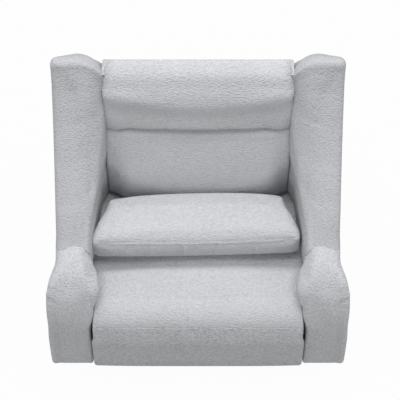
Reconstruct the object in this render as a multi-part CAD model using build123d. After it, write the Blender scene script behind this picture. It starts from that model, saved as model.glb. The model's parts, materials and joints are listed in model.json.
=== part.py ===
"""Swivel recliner: a wingback chair that turns on a round base and reclines by pushing back.

Millimetres. The origin is on the floor under the swivel axis, +Z is up and the chair faces -Y.
Each sub-part is written to parts/NODE.step. Pieces on both sides are modelled on the +X side
(the chair's left_ pieces are the mirror image on -X).
"""
import math
import os

from build123d import *

# Overall
FRONT_Y = -340.0            # face of the footrest pad, the front of the chair
REAR_Y = 340.0              # face of the outer back
BODY_BOTTOM_Z = 95.0        # lower edge of arms and footrest pad
FIT = 0.3                   # running clearance between bodies
LAYER_GAP = 1.0             # side gap between moving plates
TRIM = 2.0                  # shaping outlines stand this far outside faces that they leave alone

# Base and swivel bearing
GLIDE_OUTER_R = 272.0
GLIDE_W = 36.0
GLIDE_T = 6.0
BASE_OVERHANG = 13.0        # plate beyond the glide ring
BASE_T = 8.0
BASE_EDGE = 3.0             # bevel round the plate's upper rim
HUB_R = 108.0
HUB_BORE_R = 80.0
HUB_H = 30.0
BOLT_R = 4.0
BOLT_HEAD_R = 7.5
BOLT_HEAD_T = 4.0
RACE_T = 6.0
ROLLER_COUNT = 6
ROLLER_R = 6.0
ROLLER_L = 18.0
ROLLER_RING_R = 94.0
SPINDLE_R = 11.0
SPINDLE_HEAD_R = 20.0
TURNTABLE_HALF = 118.0      # half side of the square plate on the bearing
TURNTABLE_T = 6.0
TURNTABLE_BOLT_X = 72.0

# Carriage
TUBE = 30.0                 # square cross tubes
TUBE_WALL = 2.5
TUBE_Y = 95.0               # front and rear tube, from the swivel axis
SEAT_HALF_W = 300.0
ROD_T = 3.0
LINK_T = 3.0
PLATE_T = 3.0
RAIL_W = 30.0
CROSS_RAIL_Z = 120.0
CROSS_RAIL_H = 80.0
FRONT_RAIL_Y = -195.0
REAR_RAIL_Y = 60.0
SIDE_RAIL_H = 90.0
SPRING_RAIL_H = 35.0
SPRING_COUNT = 4
SPRING_PITCH_X = 118.0
SPRING_WIRE = 4.0
SPRING_HALF_WIDTH = 22.0
SPRING_WAVES = 6
DUST_COVER_T = 1.0

# Seat and footrest
NOSE_R = 80.0               # rolled front edge of the seat
PAD_LIP = 4.0               # footrest pad stands this much proud of the nose
NOSE_Z = 345.0
SEAT_REAR_Y = 150.0         # runs back under the lower cushion
SEAT_CROWN = 11.0
SEAT_SIDE_DROP = 20.0
PAD_T = 45.0
BOARD_T = 15.0
BOARD_H = 140.0
BOARD_EDGE = 20.0           # board stops this far above the pad's lower edge
PAD_NOSE_GAP = 0.8
PAD_CORNER_R = 22.0

# Linkage
RECLINE_Y = 160.0
RECLINE_Z = 330.0
RECLINE_DEG = 38.0
FOOTREST_DEG = 85.0
FOOT_CRANK = 43.4
RECLINE_PIN_R = 6.0
HINGE_PIN_R = 5.0
CRANK_PIN_R = 4.0
PIN_HEAD_T = 3.0
PIN_HEAD_EXTRA = 3.0
EYE_WALL = 8.0
ROD_W = 18.0
SLOT_SIDE_PLAY = 1.3
SLOT_LIFT = 7.6             # the open pivot lets the crank pin rise this much

# Arms
ARM_FRONT_Y = -335.0
ARM_REAR_Y = 325.0
ARM_W = 121.0               # across the flared front
ARM_FLARE = 34.0            # the outer face steps in by this much behind the front
ARM_CREST_IN = 34.0         # crest line, from the inner face
ARM_CREST_Z = 580.0
ARM_NOSE = (145.0, 280.0)   # the crest falls to the front over this depth and height
ARM_FRONT_INNER_R = 24.0
ARM_ROLL = 22.0             # the front of the arm swells this far over the seat
ARM_ROLL_Y = (-318.0, -190.0)
ARM_ROLL_Z = (440.0, 542.0)
ARM_FRONT_OUTER_R = 30.0
ARM_FLARE_START_Y = -300.0
ARM_FLARE_END_Y = -205.0
ARM_DROP_Y = 130.0          # the arm falls away behind here, clear of the reclining wing
ARM_DROP = 90.0
ARM_FRAME_T = 24.0
ARM_FRAME_FRONT_Y = -250.0
ARM_FRAME_REAR_Y = 230.0
ARM_FRAME_H = 235.0
ARM_BOLT_YZ = ((-70.0, 170.0), (50.0, 170.0))

# Back
BACK_INSET = 36.0           # back cushions are this much narrower than the seat, each side
CUSHION_SIDE_GAP = 2.0
FRAME_FRONT_Y = 185.0
FRAME_T = 25.0
POST_W = 38.0
BACK_BOTTOM_Z = 300.0
BOTTOM_RAIL_H = 125.0
MID_RAIL_DROP = 23.0        # middle rail starts this far below the seam
TOP_RAIL_H = 45.0
FRAME_TOP_DROP = 37.0       # frame ends this far below the headrest's top
STRAP_T = 1.5
STRAP_H = 50.0
STRAP_RISE = (30.0, 120.0, 210.0)       # above the lower edge of the cushions
HEAD_STRAP_RISE = (52.0, 122.0)         # above the seam
CUSHION_BOTTOM_Z = 440.0
CUSHION_FOOT_Y = 58.0       # face of the lower cushion at its lower edge
CUSHION_TOP_Y = 156.0       # face of the headrest near its upper edge
HEAD_H = 234.0              # headrest, seam to top
SEAM_GAP = 1.0
SEAM_Y = 124.0
HEAD_TOP_DROP = 36.0        # headrest ends this far below the wing tops
HEAD_REAR_Y = 216.0         # the headrest rolls back over the top of the frame
CUSHION_BULGE = 22.0
CUSHION_SIDE_DRAW = 18.0
CUSHION_CORNER_R = 26.0
HEAD_ROLL_R = 48.0          # rolled upper edge of the headrest
HEAD_ROLL_SAG = 6.0         # its roundness, so that it goes on from the bulging face
PANEL_T = 18.0
PANEL_BOTTOM_Z = 195.0
PANEL_BEND_RISE = 2.0       # the outer back leans in from here, above the seam
PANEL_TOP_Y = 222.0
PANEL_TOP_DROP = 20.0       # below the headrest's top
PANEL_LOW_OUT = 2.0         # lower part of the outer back, beyond the seat
PANEL_CORNER_R = 34.0
RIB_T = 18.0
RIB_INSET = 64.0            # from the side of the back
RIB_BOTTOM_Z = 330.0

# Wings
WING_OUT = 90.0             # outer face, from the arm's inner face
WING_TOP_Z = 1028.0
WING_TOP_Y = 180.0
WING_TOP_T = 27.0           # thickness front to back at the top edge
WING_FOOT_Z = 545.0         # lowest section of the sweeping front edge
WING_UPPER_H = 238.0        # middle section lies this far below the top
WING_HIP_OUT = 8.0          # the inner face starts this far outside the seat
WING_KNEE_IN = 20.0         # and runs back to this far inside it, then turns in
WING_OUTER_R = 28.0
WING_INNER_R = 38.0         # rolled inner edge of the front face
WING_FOOT = (-225.0, 40.0, 74.0)        # front edge, knee and crease of the lowest section
WING_MIDDLE = (30.0, 100.0, 134.0)
WING_CROWN = (WING_TOP_Y, 195.0, 203.0)
WING_ROLL_IN = 34.0         # the full front roll starts this far inside the outer face
WING_ROLL_Z = 590.0         # the inner face swells from here up
WING_FULL_RISE = 130.0      # and is one full roll with the front this much higher
WING_REAR_R = (34.0, 30.0)  # rear outer corner of the upper wing, across and deep
WING_REAR_EASE = (66.0, 26.0)           # rear inner corner of the upper wing, across and deep
WING_EASE_RISE = 150.0      # these corners grow over this height, up to the bend of the outer back
WING_STEPS = 3              # sections above the bend of the outer back
CORNER_STEPS = 4            # flats round each rolled edge of the wing
WING_TOP_DROP = 58.0        # the top edge falls this much towards the headrest
WING_INSIDE_Z = 442.0       # the wing reaches down inside the arm to here
WING_ARM_GAP = 2.0
WING_REAR_LIFT = 6.0
WING_REAR_CUT_Y = 95.0
WING_FRAME_T = 18.0
WING_FRAME_Y = 262.0
WING_FRAME_RISE = 65.0      # wing board starts this far above the lowest section
WING_FRAME_DROP = 148.0     # and ends this far below the top

# Loose lumbar pillow
PILLOW_END_GAP = 6.0        # pillow is this much shorter than the seat is wide, each end
PILLOW_HALF_D = 80.0
PILLOW_GUSSET = 92.0
PILLOW_CROWN = 24.0
PILLOW_SAG = 8.0
PILLOW_TILT_DEG = 4.0
PILLOW_Y = -66.0
PILLOW_DRAW = 14.0          # long edges bow out by half of this
PILLOW_END_DRAW = 10.0      # ends are this much further in at their middle
PILLOW_REAR_DRAW = 28.0     # and this much at their rear corners
PILLOW_REST = 0.5

# Derived places
GLIDE_INNER_R = GLIDE_OUTER_R - GLIDE_W
BASE_R = GLIDE_OUTER_R + BASE_OVERHANG
BASE_TOP_Z = GLIDE_T + BASE_T
HUB_TOP_Z = BASE_TOP_Z + HUB_H
ROLLER_Z = HUB_TOP_Z + RACE_T + ROLLER_R
UPPER_RACE_Z = ROLLER_Z + ROLLER_R + FIT
TURNTABLE_Z = UPPER_RACE_Z + RACE_T
TUBE_Z = TURNTABLE_Z + TURNTABLE_T
TUBE_TOP_Z = TUBE_Z + TUBE
ROD_X = SEAT_HALF_W + PIN_HEAD_T + LAYER_GAP
LINK_X = ROD_X + ROD_T + LAYER_GAP
PLATE_X = LINK_X + LINK_T + LAYER_GAP
ARM_INNER_X = PLATE_X + PLATE_T
ARM_OUTER_X = ARM_INNER_X + ARM_W
ARM_WAIST_X = ARM_OUTER_X - ARM_FLARE
ARM_CREST_X = ARM_INNER_X + ARM_CREST_IN
NOSE_Y = FRONT_Y + NOSE_R + PAD_LIP
NOSE_TOP_Z = NOSE_Z + NOSE_R
SIDE_RAIL_Z = CROSS_RAIL_Z + CROSS_RAIL_H
SPRING_Z = SIDE_RAIL_Z + SIDE_RAIL_H
SEAT_BOTTOM_Z = SPRING_Z + SPRING_WIRE
BOARD_FRONT_Y = FRONT_Y + PAD_T
BOARD_BOTTOM_Z = BODY_BOTTOM_Z + BOARD_EDGE
BOARD_TOP_Z = BOARD_BOTTOM_Z + BOARD_H
HALF_FOOT = math.radians(FOOTREST_DEG / 2)
HALF_RECLINE = math.radians(RECLINE_DEG / 2)
BACK_CRANK = FOOT_CRANK * math.sin(HALF_FOOT) / math.sin(HALF_RECLINE)
FOOT_PIN = (NOSE_Y + FOOT_CRANK * math.sin(HALF_FOOT), NOSE_Z - FOOT_CRANK * math.cos(HALF_FOOT))
BACK_PIN = (
    RECLINE_Y + BACK_CRANK * math.sin(HALF_RECLINE),
    RECLINE_Z - BACK_CRANK * math.cos(HALF_RECLINE),
)
BACK_HALF_W = SEAT_HALF_W - BACK_INSET
HEAD_TOP_Z = WING_TOP_Z - HEAD_TOP_DROP
SEAM_Z = HEAD_TOP_Z - HEAD_H
MID_RAIL_Z = SEAM_Z - MID_RAIL_DROP
FRAME_TOP_Z = HEAD_TOP_Z - FRAME_TOP_DROP
PANEL_TOP_Z = HEAD_TOP_Z - PANEL_TOP_DROP
PANEL_BEND_Z = SEAM_Z + PANEL_BEND_RISE
PANEL_LOW_HALF_W = SEAT_HALF_W + PANEL_LOW_OUT
STRAP_Z = [CUSHION_BOTTOM_Z + rise for rise in STRAP_RISE] + [SEAM_Z + rise for rise in HEAD_STRAP_RISE]
RIB_X = BACK_HALF_W - RIB_INSET
FRAME_REAR_Y = FRAME_FRONT_Y + FRAME_T
CUSHION_REAR_Y = FRAME_FRONT_Y - STRAP_T
CUSHION_HALF_W = BACK_HALF_W - CUSHION_SIDE_GAP
PANEL_IN_Y = REAR_Y - PANEL_T
WING_INSIDE_X = ARM_INNER_X - WING_ARM_GAP
WING_OUTER_X = ARM_INNER_X + WING_OUT
WING_HIP_X = SEAT_HALF_W + WING_HIP_OUT
WING_KNEE_X = SEAT_HALF_W - WING_KNEE_IN
WING_FRONT_X = WING_HIP_X + WING_INNER_R
WING_SECTIONS = (
    (WING_FOOT_Z, *WING_FOOT),
    (WING_TOP_Z - WING_UPPER_H, *WING_MIDDLE),
    (WING_TOP_Z, *WING_CROWN),
)
WING_INSIDE_FRONT_Y = WING_FOOT[0] + WING_INNER_R
WING_FRAME_Z = (WING_FOOT_Z + WING_FRAME_RISE, WING_TOP_Z - WING_FRAME_DROP)
PILLOW_HALF_L = SEAT_HALF_W - PILLOW_END_GAP
ARC = math.sqrt(0.5)
EIGHTHS = [math.pi / 8 * i for i in range(5)]           # angles of a quarter turn
LONG = 2000.0               # longer than the chair, for cutting tools
TURN = 360.0


def face_of(plane, start, *steps):
    """Face on a plane from lines (to a point) and arcs (through a point, to a point)."""
    edges = []
    here = start
    for step in steps + (start,):
        if isinstance(step[0], tuple):
            edges.append(ThreePointArc(here, step[0], step[1]))
            here = step[1]
        elif step != here:
            edges.append(Line(here, step))
            here = step
    return plane * make_face(edges)


def prism_x(x0, x1, start, *steps):
    """Solid between two x values with an outline in (y, z)."""
    return extrude(face_of(Plane.YZ.offset(x0), start, *steps), amount=x1 - x0)


def prism_y(y0, y1, start, *steps):
    """Solid between two y values with an outline in (x, z)."""
    return extrude(face_of(Plane.XZ.offset(-y1), start, *steps), amount=y1 - y0)


def prism_z(z0, z1, start, *steps):
    """Solid between two z values with an outline in (x, y)."""
    return extrude(face_of(Plane.XY.offset(z0), start, *steps), amount=z1 - z0)


def box(x0, x1, y0, y1, z0, z1):
    """Box between limits."""
    size = (x1 - x0, y1 - y0, z1 - z0)
    middle = ((x0 + x1) / 2, (y0 + y1) / 2, (z0 + z1) / 2)
    return Pos(*middle) * Box(*size)


def rod_x(yz, radius, x0, x1):
    """Round bar along x at a (y, z) place."""
    return Pos((x0 + x1) / 2, yz[0], yz[1]) * Rot(0, 90, 0) * Cylinder(radius, x1 - x0)


def rod_z(xy, radius, z0, z1):
    """Round bar along z at an (x, y) place."""
    return Pos(xy[0], xy[1], (z0 + z1) / 2) * Cylinder(radius, z1 - z0)


def ring_z(outer, inner, z0, z1):
    """Flat ring about the swivel axis."""
    return rod_z((0, 0), outer, z0, z1) - rod_z((0, 0), inner, z0, z1)


def bar_x(a, b, width, x0, x1):
    """Flat bar between two (y, z) points with round ends."""
    run, rise = b[0] - a[0], b[1] - a[1]
    length = math.hypot(run, rise)
    ny, nz = -rise / length * width / 2, run / length * width / 2
    corners = [(a[0] + ny, a[1] + nz), (b[0] + ny, b[1] + nz)]
    corners += [(b[0] - ny, b[1] - nz), (a[0] - ny, a[1] - nz)]
    web = prism_x(x0, x1, *corners)
    return web + rod_x(a, width / 2, x0, x1) + rod_x(b, width / 2, x0, x1)


def mirrored(part):
    """The same piece on the other side of the chair."""
    return mirror(part, about=Plane.YZ)


def hexagon_x(yz, radius, x0, x1):
    """Six-sided bar along x at a (y, z) place."""
    return extrude(Plane.YZ.offset(x0) * Pos(*yz) * RegularPolygon(radius, 6), amount=x1 - x0)


def headed_pin(yz, radius, x0, x1):
    """Pivot bolt along x with its six-sided head on the inner side, at x0."""
    head = hexagon_x(yz, radius + PIN_HEAD_EXTRA, x0, x0 + PIN_HEAD_T)
    return head + rod_x(yz, radius, x0, x1)


def corner_mid(cx, cy, radius, sx, sy):
    """Middle point of a quarter arc about a centre, towards (sx, sy)."""
    return (cx + sx * radius * ARC, cy + sy * radius * ARC)


# Base
def make_glide_ring():
    return ring_z(GLIDE_OUTER_R, GLIDE_INNER_R, 0, GLIDE_T)


def make_base_plate():
    plate = rod_z((0, 0), BASE_R, GLIDE_T, BASE_TOP_Z)
    rim = plate.edges().filter_by(GeomType.CIRCLE).sort_by(Axis.Z)[-1]
    return chamfer(rim, BASE_EDGE) - rod_z((0, 0), SPINDLE_R, GLIDE_T, BASE_TOP_Z)


def make_base_hub():
    return ring_z(HUB_R, HUB_BORE_R, BASE_TOP_Z, HUB_TOP_Z)


def make_race(z0):
    return ring_z(HUB_R, HUB_BORE_R, z0, z0 + RACE_T)


def make_bearing_rollers():
    """Rollers lying like spokes between the two races, running clear of the upper one."""
    roller = Pos(ROLLER_RING_R, 0, ROLLER_Z) * Rot(0, 90, 0) * Cylinder(ROLLER_R, ROLLER_L)
    return [Rot(0, 0, i * TURN / ROLLER_COUNT) * roller for i in range(ROLLER_COUNT)]


def make_spindle():
    top = TUBE_Z + FIT
    shaft = rod_z((0, 0), SPINDLE_R, GLIDE_T, top)
    nut_face = Pos(0, 0, top) * RegularPolygon(SPINDLE_HEAD_R, 6)
    return shaft + extrude(nut_face, amount=SPINDLE_R)


# Carriage
def turntable_bolt_places():
    return [(sx * TURNTABLE_BOLT_X, sy * TUBE_Y) for sx in (-1, 1) for sy in (-1, 1)]


def make_turntable():
    half = TURNTABLE_HALF
    plate = box(-half, half, -half, half, TURNTABLE_Z, TUBE_Z)
    for xy in turntable_bolt_places():
        plate -= rod_z(xy, BOLT_R, TURNTABLE_Z, TUBE_Z)
    return plate - rod_z((0, 0), SPINDLE_R + FIT, TURNTABLE_Z, TUBE_Z)


def make_turntable_bolts():
    bolts = []
    for xy in turntable_bolt_places():
        head_face = Pos(*xy, TURNTABLE_Z - BOLT_HEAD_T) * RegularPolygon(BOLT_HEAD_R, 6)
        head = extrude(head_face, amount=BOLT_HEAD_T)
        bolts.append(head + rod_z(xy, BOLT_R, TURNTABLE_Z, TUBE_Z + TUBE_WALL))
    return bolts


def make_cross_tube(side):
    y = side * TUBE_Y
    half = TUBE / 2
    inner = half - TUBE_WALL
    middle = TUBE_Z + half
    tube = box(-PLATE_X, PLATE_X, y - half, y + half, TUBE_Z, TUBE_TOP_Z)
    tube -= box(-PLATE_X, PLATE_X, y - inner, y + inner, middle - inner, middle + inner)
    for bx, by in turntable_bolt_places():
        tube -= rod_z((bx, by), BOLT_R, TUBE_Z, TUBE_Z + TUBE_WALL)
    return tube


def make_side_plate():
    ear = RECLINE_PIN_R + 2 * EYE_WALL
    front_ear = HINGE_PIN_R + 2 * EYE_WALL
    foot = TUBE_Y + TUBE
    waist_z = SIDE_RAIL_Z + SIDE_RAIL_H / 2
    x0, x1 = PLATE_X, PLATE_X + PLATE_T
    plate = prism_x(
        x0, x1,
        (-foot, TUBE_Z), (foot, TUBE_Z), (RECLINE_Y + ear, RECLINE_Z), (RECLINE_Y - ear, RECLINE_Z),
        (REAR_RAIL_Y, waist_z), (FRONT_RAIL_Y, waist_z), (NOSE_Y + front_ear, NOSE_Z),
        (NOSE_Y - front_ear, NOSE_Z), (NOSE_Y - front_ear + EYE_WALL, CROSS_RAIL_Z + CROSS_RAIL_H),
    )
    plate += rod_x((RECLINE_Y, RECLINE_Z), ear, x0, x1)
    plate += rod_x((NOSE_Y, NOSE_Z), front_ear, x0, x1)
    plate -= rod_x((RECLINE_Y, RECLINE_Z), RECLINE_PIN_R + FIT, x0, x1)
    plate -= rod_x((NOSE_Y, NOSE_Z), HINGE_PIN_R, x0, x1)
    for yz in ARM_BOLT_YZ:
        plate -= rod_x(yz, BOLT_R, x0, x1)
    return plate


def make_cross_rail(y0):
    return box(-PLATE_X, PLATE_X, y0, y0 + RAIL_W, CROSS_RAIL_Z, SIDE_RAIL_Z)


def make_seat_rail():
    rear = REAR_RAIL_Y + RAIL_W
    return box(SEAT_HALF_W - RAIL_W, SEAT_HALF_W, FRONT_RAIL_Y, rear, SIDE_RAIL_Z, SPRING_Z)


def make_spring_rail(y0):
    half = SEAT_HALF_W - RAIL_W
    return box(-half, half, y0, y0 + RAIL_W, SPRING_Z - SPRING_RAIL_H, SPRING_Z)


def spring_points(x):
    """Corners of one sinuous spring, front rail to rear rail, bar by bar with a bend between bars."""
    y_front = FRONT_RAIL_Y + RAIL_W / 2
    pitch = (REAR_RAIL_Y - FRONT_RAIL_Y) / SPRING_WAVES
    z = SPRING_Z + SPRING_WIRE / 2
    bar, loop = SPRING_HALF_WIDTH, SPRING_HALF_WIDTH + pitch / 2
    points = [(x - bar, y_front, z)]
    for k in range(SPRING_WAVES):
        side = 1 if k % 2 == 0 else -1
        y = y_front + k * pitch
        points += [(x + side * bar, y, z), (x + side * loop, y + pitch / 3, z)]
        points += [(x + side * loop, y + 2 * pitch / 3, z), (x + side * bar, y + pitch, z)]
    return points + [(x - side * bar, y_front + SPRING_WAVES * pitch, z)]


def make_seat_springs():
    springs = []
    for i in range(SPRING_COUNT):
        points = spring_points((i - (SPRING_COUNT - 1) / 2) * SPRING_PITCH_X)
        wire = Plane(points[0], z_dir=(1, 0, 0)) * Rectangle(SPRING_WIRE, SPRING_WIRE)
        springs.append(sweep(wire, Polyline(*points), transition=Transition.RIGHT))
    return springs


def make_dust_cover():
    reach = TUBE_Y + TUBE / 2
    return box(-PLATE_X, PLATE_X, -reach, reach, TUBE_TOP_Z, TUBE_TOP_Z + DUST_COVER_T)


def make_seat_cushion():
    crown_z = NOSE_TOP_Z + SEAT_CROWN
    middle_y = (NOSE_Y + SEAT_REAR_Y) / 2
    nose_front = corner_mid(NOSE_Y, NOSE_Z, NOSE_R, -1, 1)
    nose_under = corner_mid(NOSE_Y, NOSE_Z, NOSE_R, -1, -1)
    step_y = FRONT_RAIL_Y - FIT
    body = prism_x(
        -SEAT_HALF_W, SEAT_HALF_W,
        (SEAT_REAR_Y, SEAT_BOTTOM_Z), (SEAT_REAR_Y, NOSE_TOP_Z),
        ((middle_y, crown_z), (NOSE_Y, NOSE_TOP_Z)),
        (nose_front, (NOSE_Y - NOSE_R, NOSE_Z)), (nose_under, (NOSE_Y, NOSE_Z - NOSE_R)),
        (step_y, NOSE_Z - NOSE_R), (step_y, SEAT_BOTTOM_Z),
    )
    side_z = crown_z - SEAT_SIDE_DROP
    crown = prism_y(
        FRONT_Y, SEAT_REAR_Y,
        (-SEAT_HALF_W, NOSE_Z - NOSE_R), (SEAT_HALF_W, NOSE_Z - NOSE_R), (SEAT_HALF_W, side_z),
        ((0, crown_z), (-SEAT_HALF_W, side_z)),
    )
    return body & crown


def hinge_pins(yz, radius, x0, x1):
    pin = headed_pin(yz, radius, x0, x1)
    return [pin, mirrored(pin)]


def make_footrest_pins():
    return hinge_pins((NOSE_Y, NOSE_Z), HINGE_PIN_R, LINK_X - PIN_HEAD_T - FIT, ARM_INNER_X)


def make_arm_bolts():
    bolts = []
    for yz in ARM_BOLT_YZ:
        head = hexagon_x(yz, BOLT_HEAD_R, PLATE_X - PIN_HEAD_T, PLATE_X)
        bolt = head + rod_x(yz, BOLT_R, PLATE_X, ARM_INNER_X + ARM_FRAME_T)
        bolts += [bolt, mirrored(bolt)]
    return bolts


def arm_frame_block():
    top = BODY_BOTTOM_Z + ARM_FRAME_H
    x1 = ARM_INNER_X + ARM_FRAME_T
    return box(ARM_INNER_X, x1, ARM_FRAME_FRONT_Y, ARM_FRAME_REAR_Y, BODY_BOTTOM_Z, top)


def make_arm_frame():
    frame = arm_frame_block()
    for yz in ARM_BOLT_YZ:
        frame -= rod_x(yz, BOLT_R, ARM_INNER_X, ARM_INNER_X + ARM_FRAME_T)
    return frame


def arm_section(gap, y0, y1):
    """Arm's rounded section between two y values, grown upwards and sideways by a gap."""
    inner, outer = ARM_INNER_X - gap, ARM_OUTER_X + gap
    crest = (ARM_CREST_X, ARM_CREST_Z + gap)
    inner_r = ARM_CREST_X - inner
    outer_r = outer - ARM_CREST_X
    inner_z, outer_z = crest[1] - inner_r, crest[1] - outer_r
    return prism_y(
        y0, y1,
        (inner, BODY_BOTTOM_Z), (inner, inner_z),
        (corner_mid(ARM_CREST_X, inner_z, inner_r, -1, 1), crest),
        (corner_mid(ARM_CREST_X, outer_z, outer_r, 1, 1), (outer, outer_z)), (outer, BODY_BOTTOM_Z),
    )


def arm_roll():
    """Swelling of the arm's front over the seat: a bulge both upright and lengthwise."""
    (y0, y1), (z0, z1) = ARM_ROLL_Y, ARM_ROLL_Z
    root, crown = ARM_INNER_X + TRIM, ARM_INNER_X - ARM_ROLL
    upright = prism_y(y0, y1, (root, z0), ((crown, (z0 + z1) / 2), (root, z1)))
    lengthwise = prism_z(z0, z1, (root, y0), ((crown, (y0 + y1) / 2), (root, y1)))
    return upright & lengthwise


def make_arm():
    front, rear = ARM_FRONT_Y, ARM_REAR_Y
    inner, outer = ARM_INNER_X, ARM_OUTER_X
    in_x, out_x = inner - TRIM, outer + TRIM
    r_in, r_out = ARM_FRONT_INNER_R, ARM_FRONT_OUTER_R
    flare_mid = ((outer + ARM_WAIST_X) / 2 + PAD_LIP, (ARM_FLARE_START_Y + ARM_FLARE_END_Y) / 2)
    plan = prism_z(
        BODY_BOTTOM_Z - TRIM, ARM_CREST_Z + TRIM,
        (in_x, rear + TRIM), (in_x, front + r_in),
        (corner_mid(in_x + r_in, front + r_in, r_in, -1, -1), (in_x + r_in, front)),
        (out_x - r_out, front),
        (corner_mid(out_x - r_out, front + r_out, r_out, 1, -1), (out_x, front + r_out)),
        (out_x, ARM_FLARE_START_Y), (flare_mid, (ARM_WAIST_X, ARM_FLARE_END_Y)),
        (ARM_WAIST_X, rear + TRIM),
    )
    deep, tall = (length + TRIM for length in ARM_NOSE)
    nose_y, nose_z = front + ARM_NOSE[0], ARM_CREST_Z - ARM_NOSE[1]
    rise = [(nose_y - deep * math.cos(a), nose_z + tall * math.sin(a)) for a in EIGHTHS]
    low, top = BODY_BOTTOM_Z - TRIM, nose_z + tall
    side = prism_x(
        inner - ARM_ROLL - TRIM, outer + TRIM,
        (nose_y - deep, low), rise[0], (rise[1], rise[2]), (rise[3], rise[4]),
        (ARM_DROP_Y, top), (rear, ARM_CREST_Z - ARM_DROP), (rear, low),
    )
    return ((arm_section(0, front, rear) & plan) + arm_roll() & side) - arm_frame_block()


# Footrest and tie rods
def make_footrest_arm():
    x0, x1 = LINK_X, LINK_X + LINK_T
    eye = HINGE_PIN_R + 2 * EYE_WALL
    arm = bar_x((NOSE_Y, NOSE_Z), FOOT_PIN, 2 * (CRANK_PIN_R + EYE_WALL), x0, x1)
    arm += rod_x((NOSE_Y, NOSE_Z), eye, x0, x1)
    board_rear = BOARD_FRONT_Y + BOARD_T
    arm += prism_x(
        x0, x1,
        (NOSE_Y - eye, NOSE_Z), (NOSE_Y + EYE_WALL, NOSE_Z), (board_rear + EYE_WALL, BOARD_TOP_Z),
        (board_rear + EYE_WALL, BOARD_BOTTOM_Z), (BOARD_FRONT_Y, BOARD_BOTTOM_Z),
        (BOARD_FRONT_Y, BOARD_TOP_Z),
    )
    arm -= rod_x((NOSE_Y, NOSE_Z), HINGE_PIN_R + FIT, x0, x1)
    return arm - rod_x(FOOT_PIN, CRANK_PIN_R, x0, x1)


def board_block():
    rear = BOARD_FRONT_Y + BOARD_T
    return box(-LINK_X, LINK_X, BOARD_FRONT_Y, rear, BOARD_BOTTOM_Z, BOARD_TOP_Z)


def make_footrest_pad():
    half = LINK_X - LAYER_GAP
    rear = BOARD_FRONT_Y + BOARD_T
    r = PAD_CORNER_R
    low = BODY_BOTTOM_Z
    pad = prism_x(
        -half, half,
        (FRONT_Y, NOSE_Z), (FRONT_Y, low + r),
        (corner_mid(FRONT_Y + r, low + r, r, -1, -1), (FRONT_Y + r, low)),
        (rear, low), (rear, BOARD_TOP_Z), (BOARD_FRONT_Y, BOARD_TOP_Z), (BOARD_FRONT_Y, NOSE_Z),
    )
    pad -= rod_x((NOSE_Y, NOSE_Z), NOSE_R + PAD_NOSE_GAP, -half, half)
    return pad - board_block()


def make_crank_pins(yz):
    pin = headed_pin(yz, CRANK_PIN_R, ROD_X - PIN_HEAD_T - FIT, LINK_X + LINK_T)
    return [pin, mirrored(pin)]


def make_tie_rod():
    x0, x1 = ROD_X, ROD_X + ROD_T
    slot_top = (BACK_PIN[0], BACK_PIN[1] + SLOT_LIFT)
    slot_r = CRANK_PIN_R + SLOT_SIDE_PLAY
    rod = bar_x(FOOT_PIN, BACK_PIN, ROD_W, x0, x1)
    for yz in (FOOT_PIN, BACK_PIN, slot_top):
        rod += rod_x(yz, CRANK_PIN_R + EYE_WALL, x0, x1)
    rod -= rod_x(FOOT_PIN, CRANK_PIN_R + FIT, x0, x1)
    return rod - bar_x(BACK_PIN, slot_top, 2 * slot_r, x0, x1)


# Back
def make_back_bracket():
    x0, x1 = LINK_X, LINK_X + LINK_T
    eye = RECLINE_PIN_R + 2 * EYE_WALL
    bracket = bar_x((RECLINE_Y, RECLINE_Z), BACK_PIN, 2 * (CRANK_PIN_R + EYE_WALL), x0, x1)
    bracket += rod_x((RECLINE_Y, RECLINE_Z), eye, x0, x1)
    top = BACK_BOTTOM_Z + BOTTOM_RAIL_H
    bracket += prism_x(
        x0, x1,
        (RECLINE_Y, RECLINE_Z - eye), (FRAME_REAR_Y, BACK_BOTTOM_Z), (FRAME_REAR_Y, top),
        (FRAME_FRONT_Y, top), (RECLINE_Y - EYE_WALL, RECLINE_Z),
    )
    bracket -= rod_x((RECLINE_Y, RECLINE_Z), RECLINE_PIN_R, x0, x1)
    return bracket - rod_x(BACK_PIN, CRANK_PIN_R, x0, x1)


def make_recline_pins():
    return hinge_pins((RECLINE_Y, RECLINE_Z), RECLINE_PIN_R, LINK_X - PIN_HEAD_T, ARM_INNER_X - FIT)


def make_back_post():
    foot = BACK_BOTTOM_Z + BOTTOM_RAIL_H
    return box(BACK_HALF_W - POST_W, BACK_HALF_W, FRAME_FRONT_Y, FRAME_REAR_Y, foot, FRAME_TOP_Z)


def make_back_bottom_rail():
    top = BACK_BOTTOM_Z + BOTTOM_RAIL_H
    return box(-LINK_X, LINK_X, FRAME_FRONT_Y, FRAME_REAR_Y, BACK_BOTTOM_Z, top)


def make_back_rail(z0):
    half = BACK_HALF_W - POST_W
    return box(-half, half, FRAME_FRONT_Y, FRAME_REAR_Y, z0, z0 + TOP_RAIL_H)


def make_back_straps():
    half = CUSHION_HALF_W
    return [box(-half, half, CUSHION_REAR_Y, FRAME_FRONT_Y, z, z + STRAP_H) for z in STRAP_Z]


def cushion_plan(z0, z1, foot_y):
    """Front face drawn back towards the sides, from the straps forward."""
    half, rear = CUSHION_HALF_W, HEAD_REAR_Y
    side_y = foot_y + CUSHION_SIDE_DRAW
    return prism_z(z0, z1, (-half, rear), (half, rear), (half, side_y), ((0, foot_y), (-half, side_y)))


def make_lower_back_cushion():
    half = CUSHION_HALF_W
    top = SEAM_Z - SEAM_GAP / 2
    low = CUSHION_BOTTOM_Z
    middle = ((CUSHION_FOOT_Y + SEAM_Y) / 2 - CUSHION_BULGE, (low + top) / 2)
    side = prism_x(
        -half, half,
        (CUSHION_REAR_Y, low), (CUSHION_REAR_Y, top), (SEAM_Y, top), (middle, (CUSHION_FOOT_Y, low)),
    )
    return side & cushion_plan(low, top, min(CUSHION_FOOT_Y, middle[0]) - SEAM_GAP)


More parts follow.
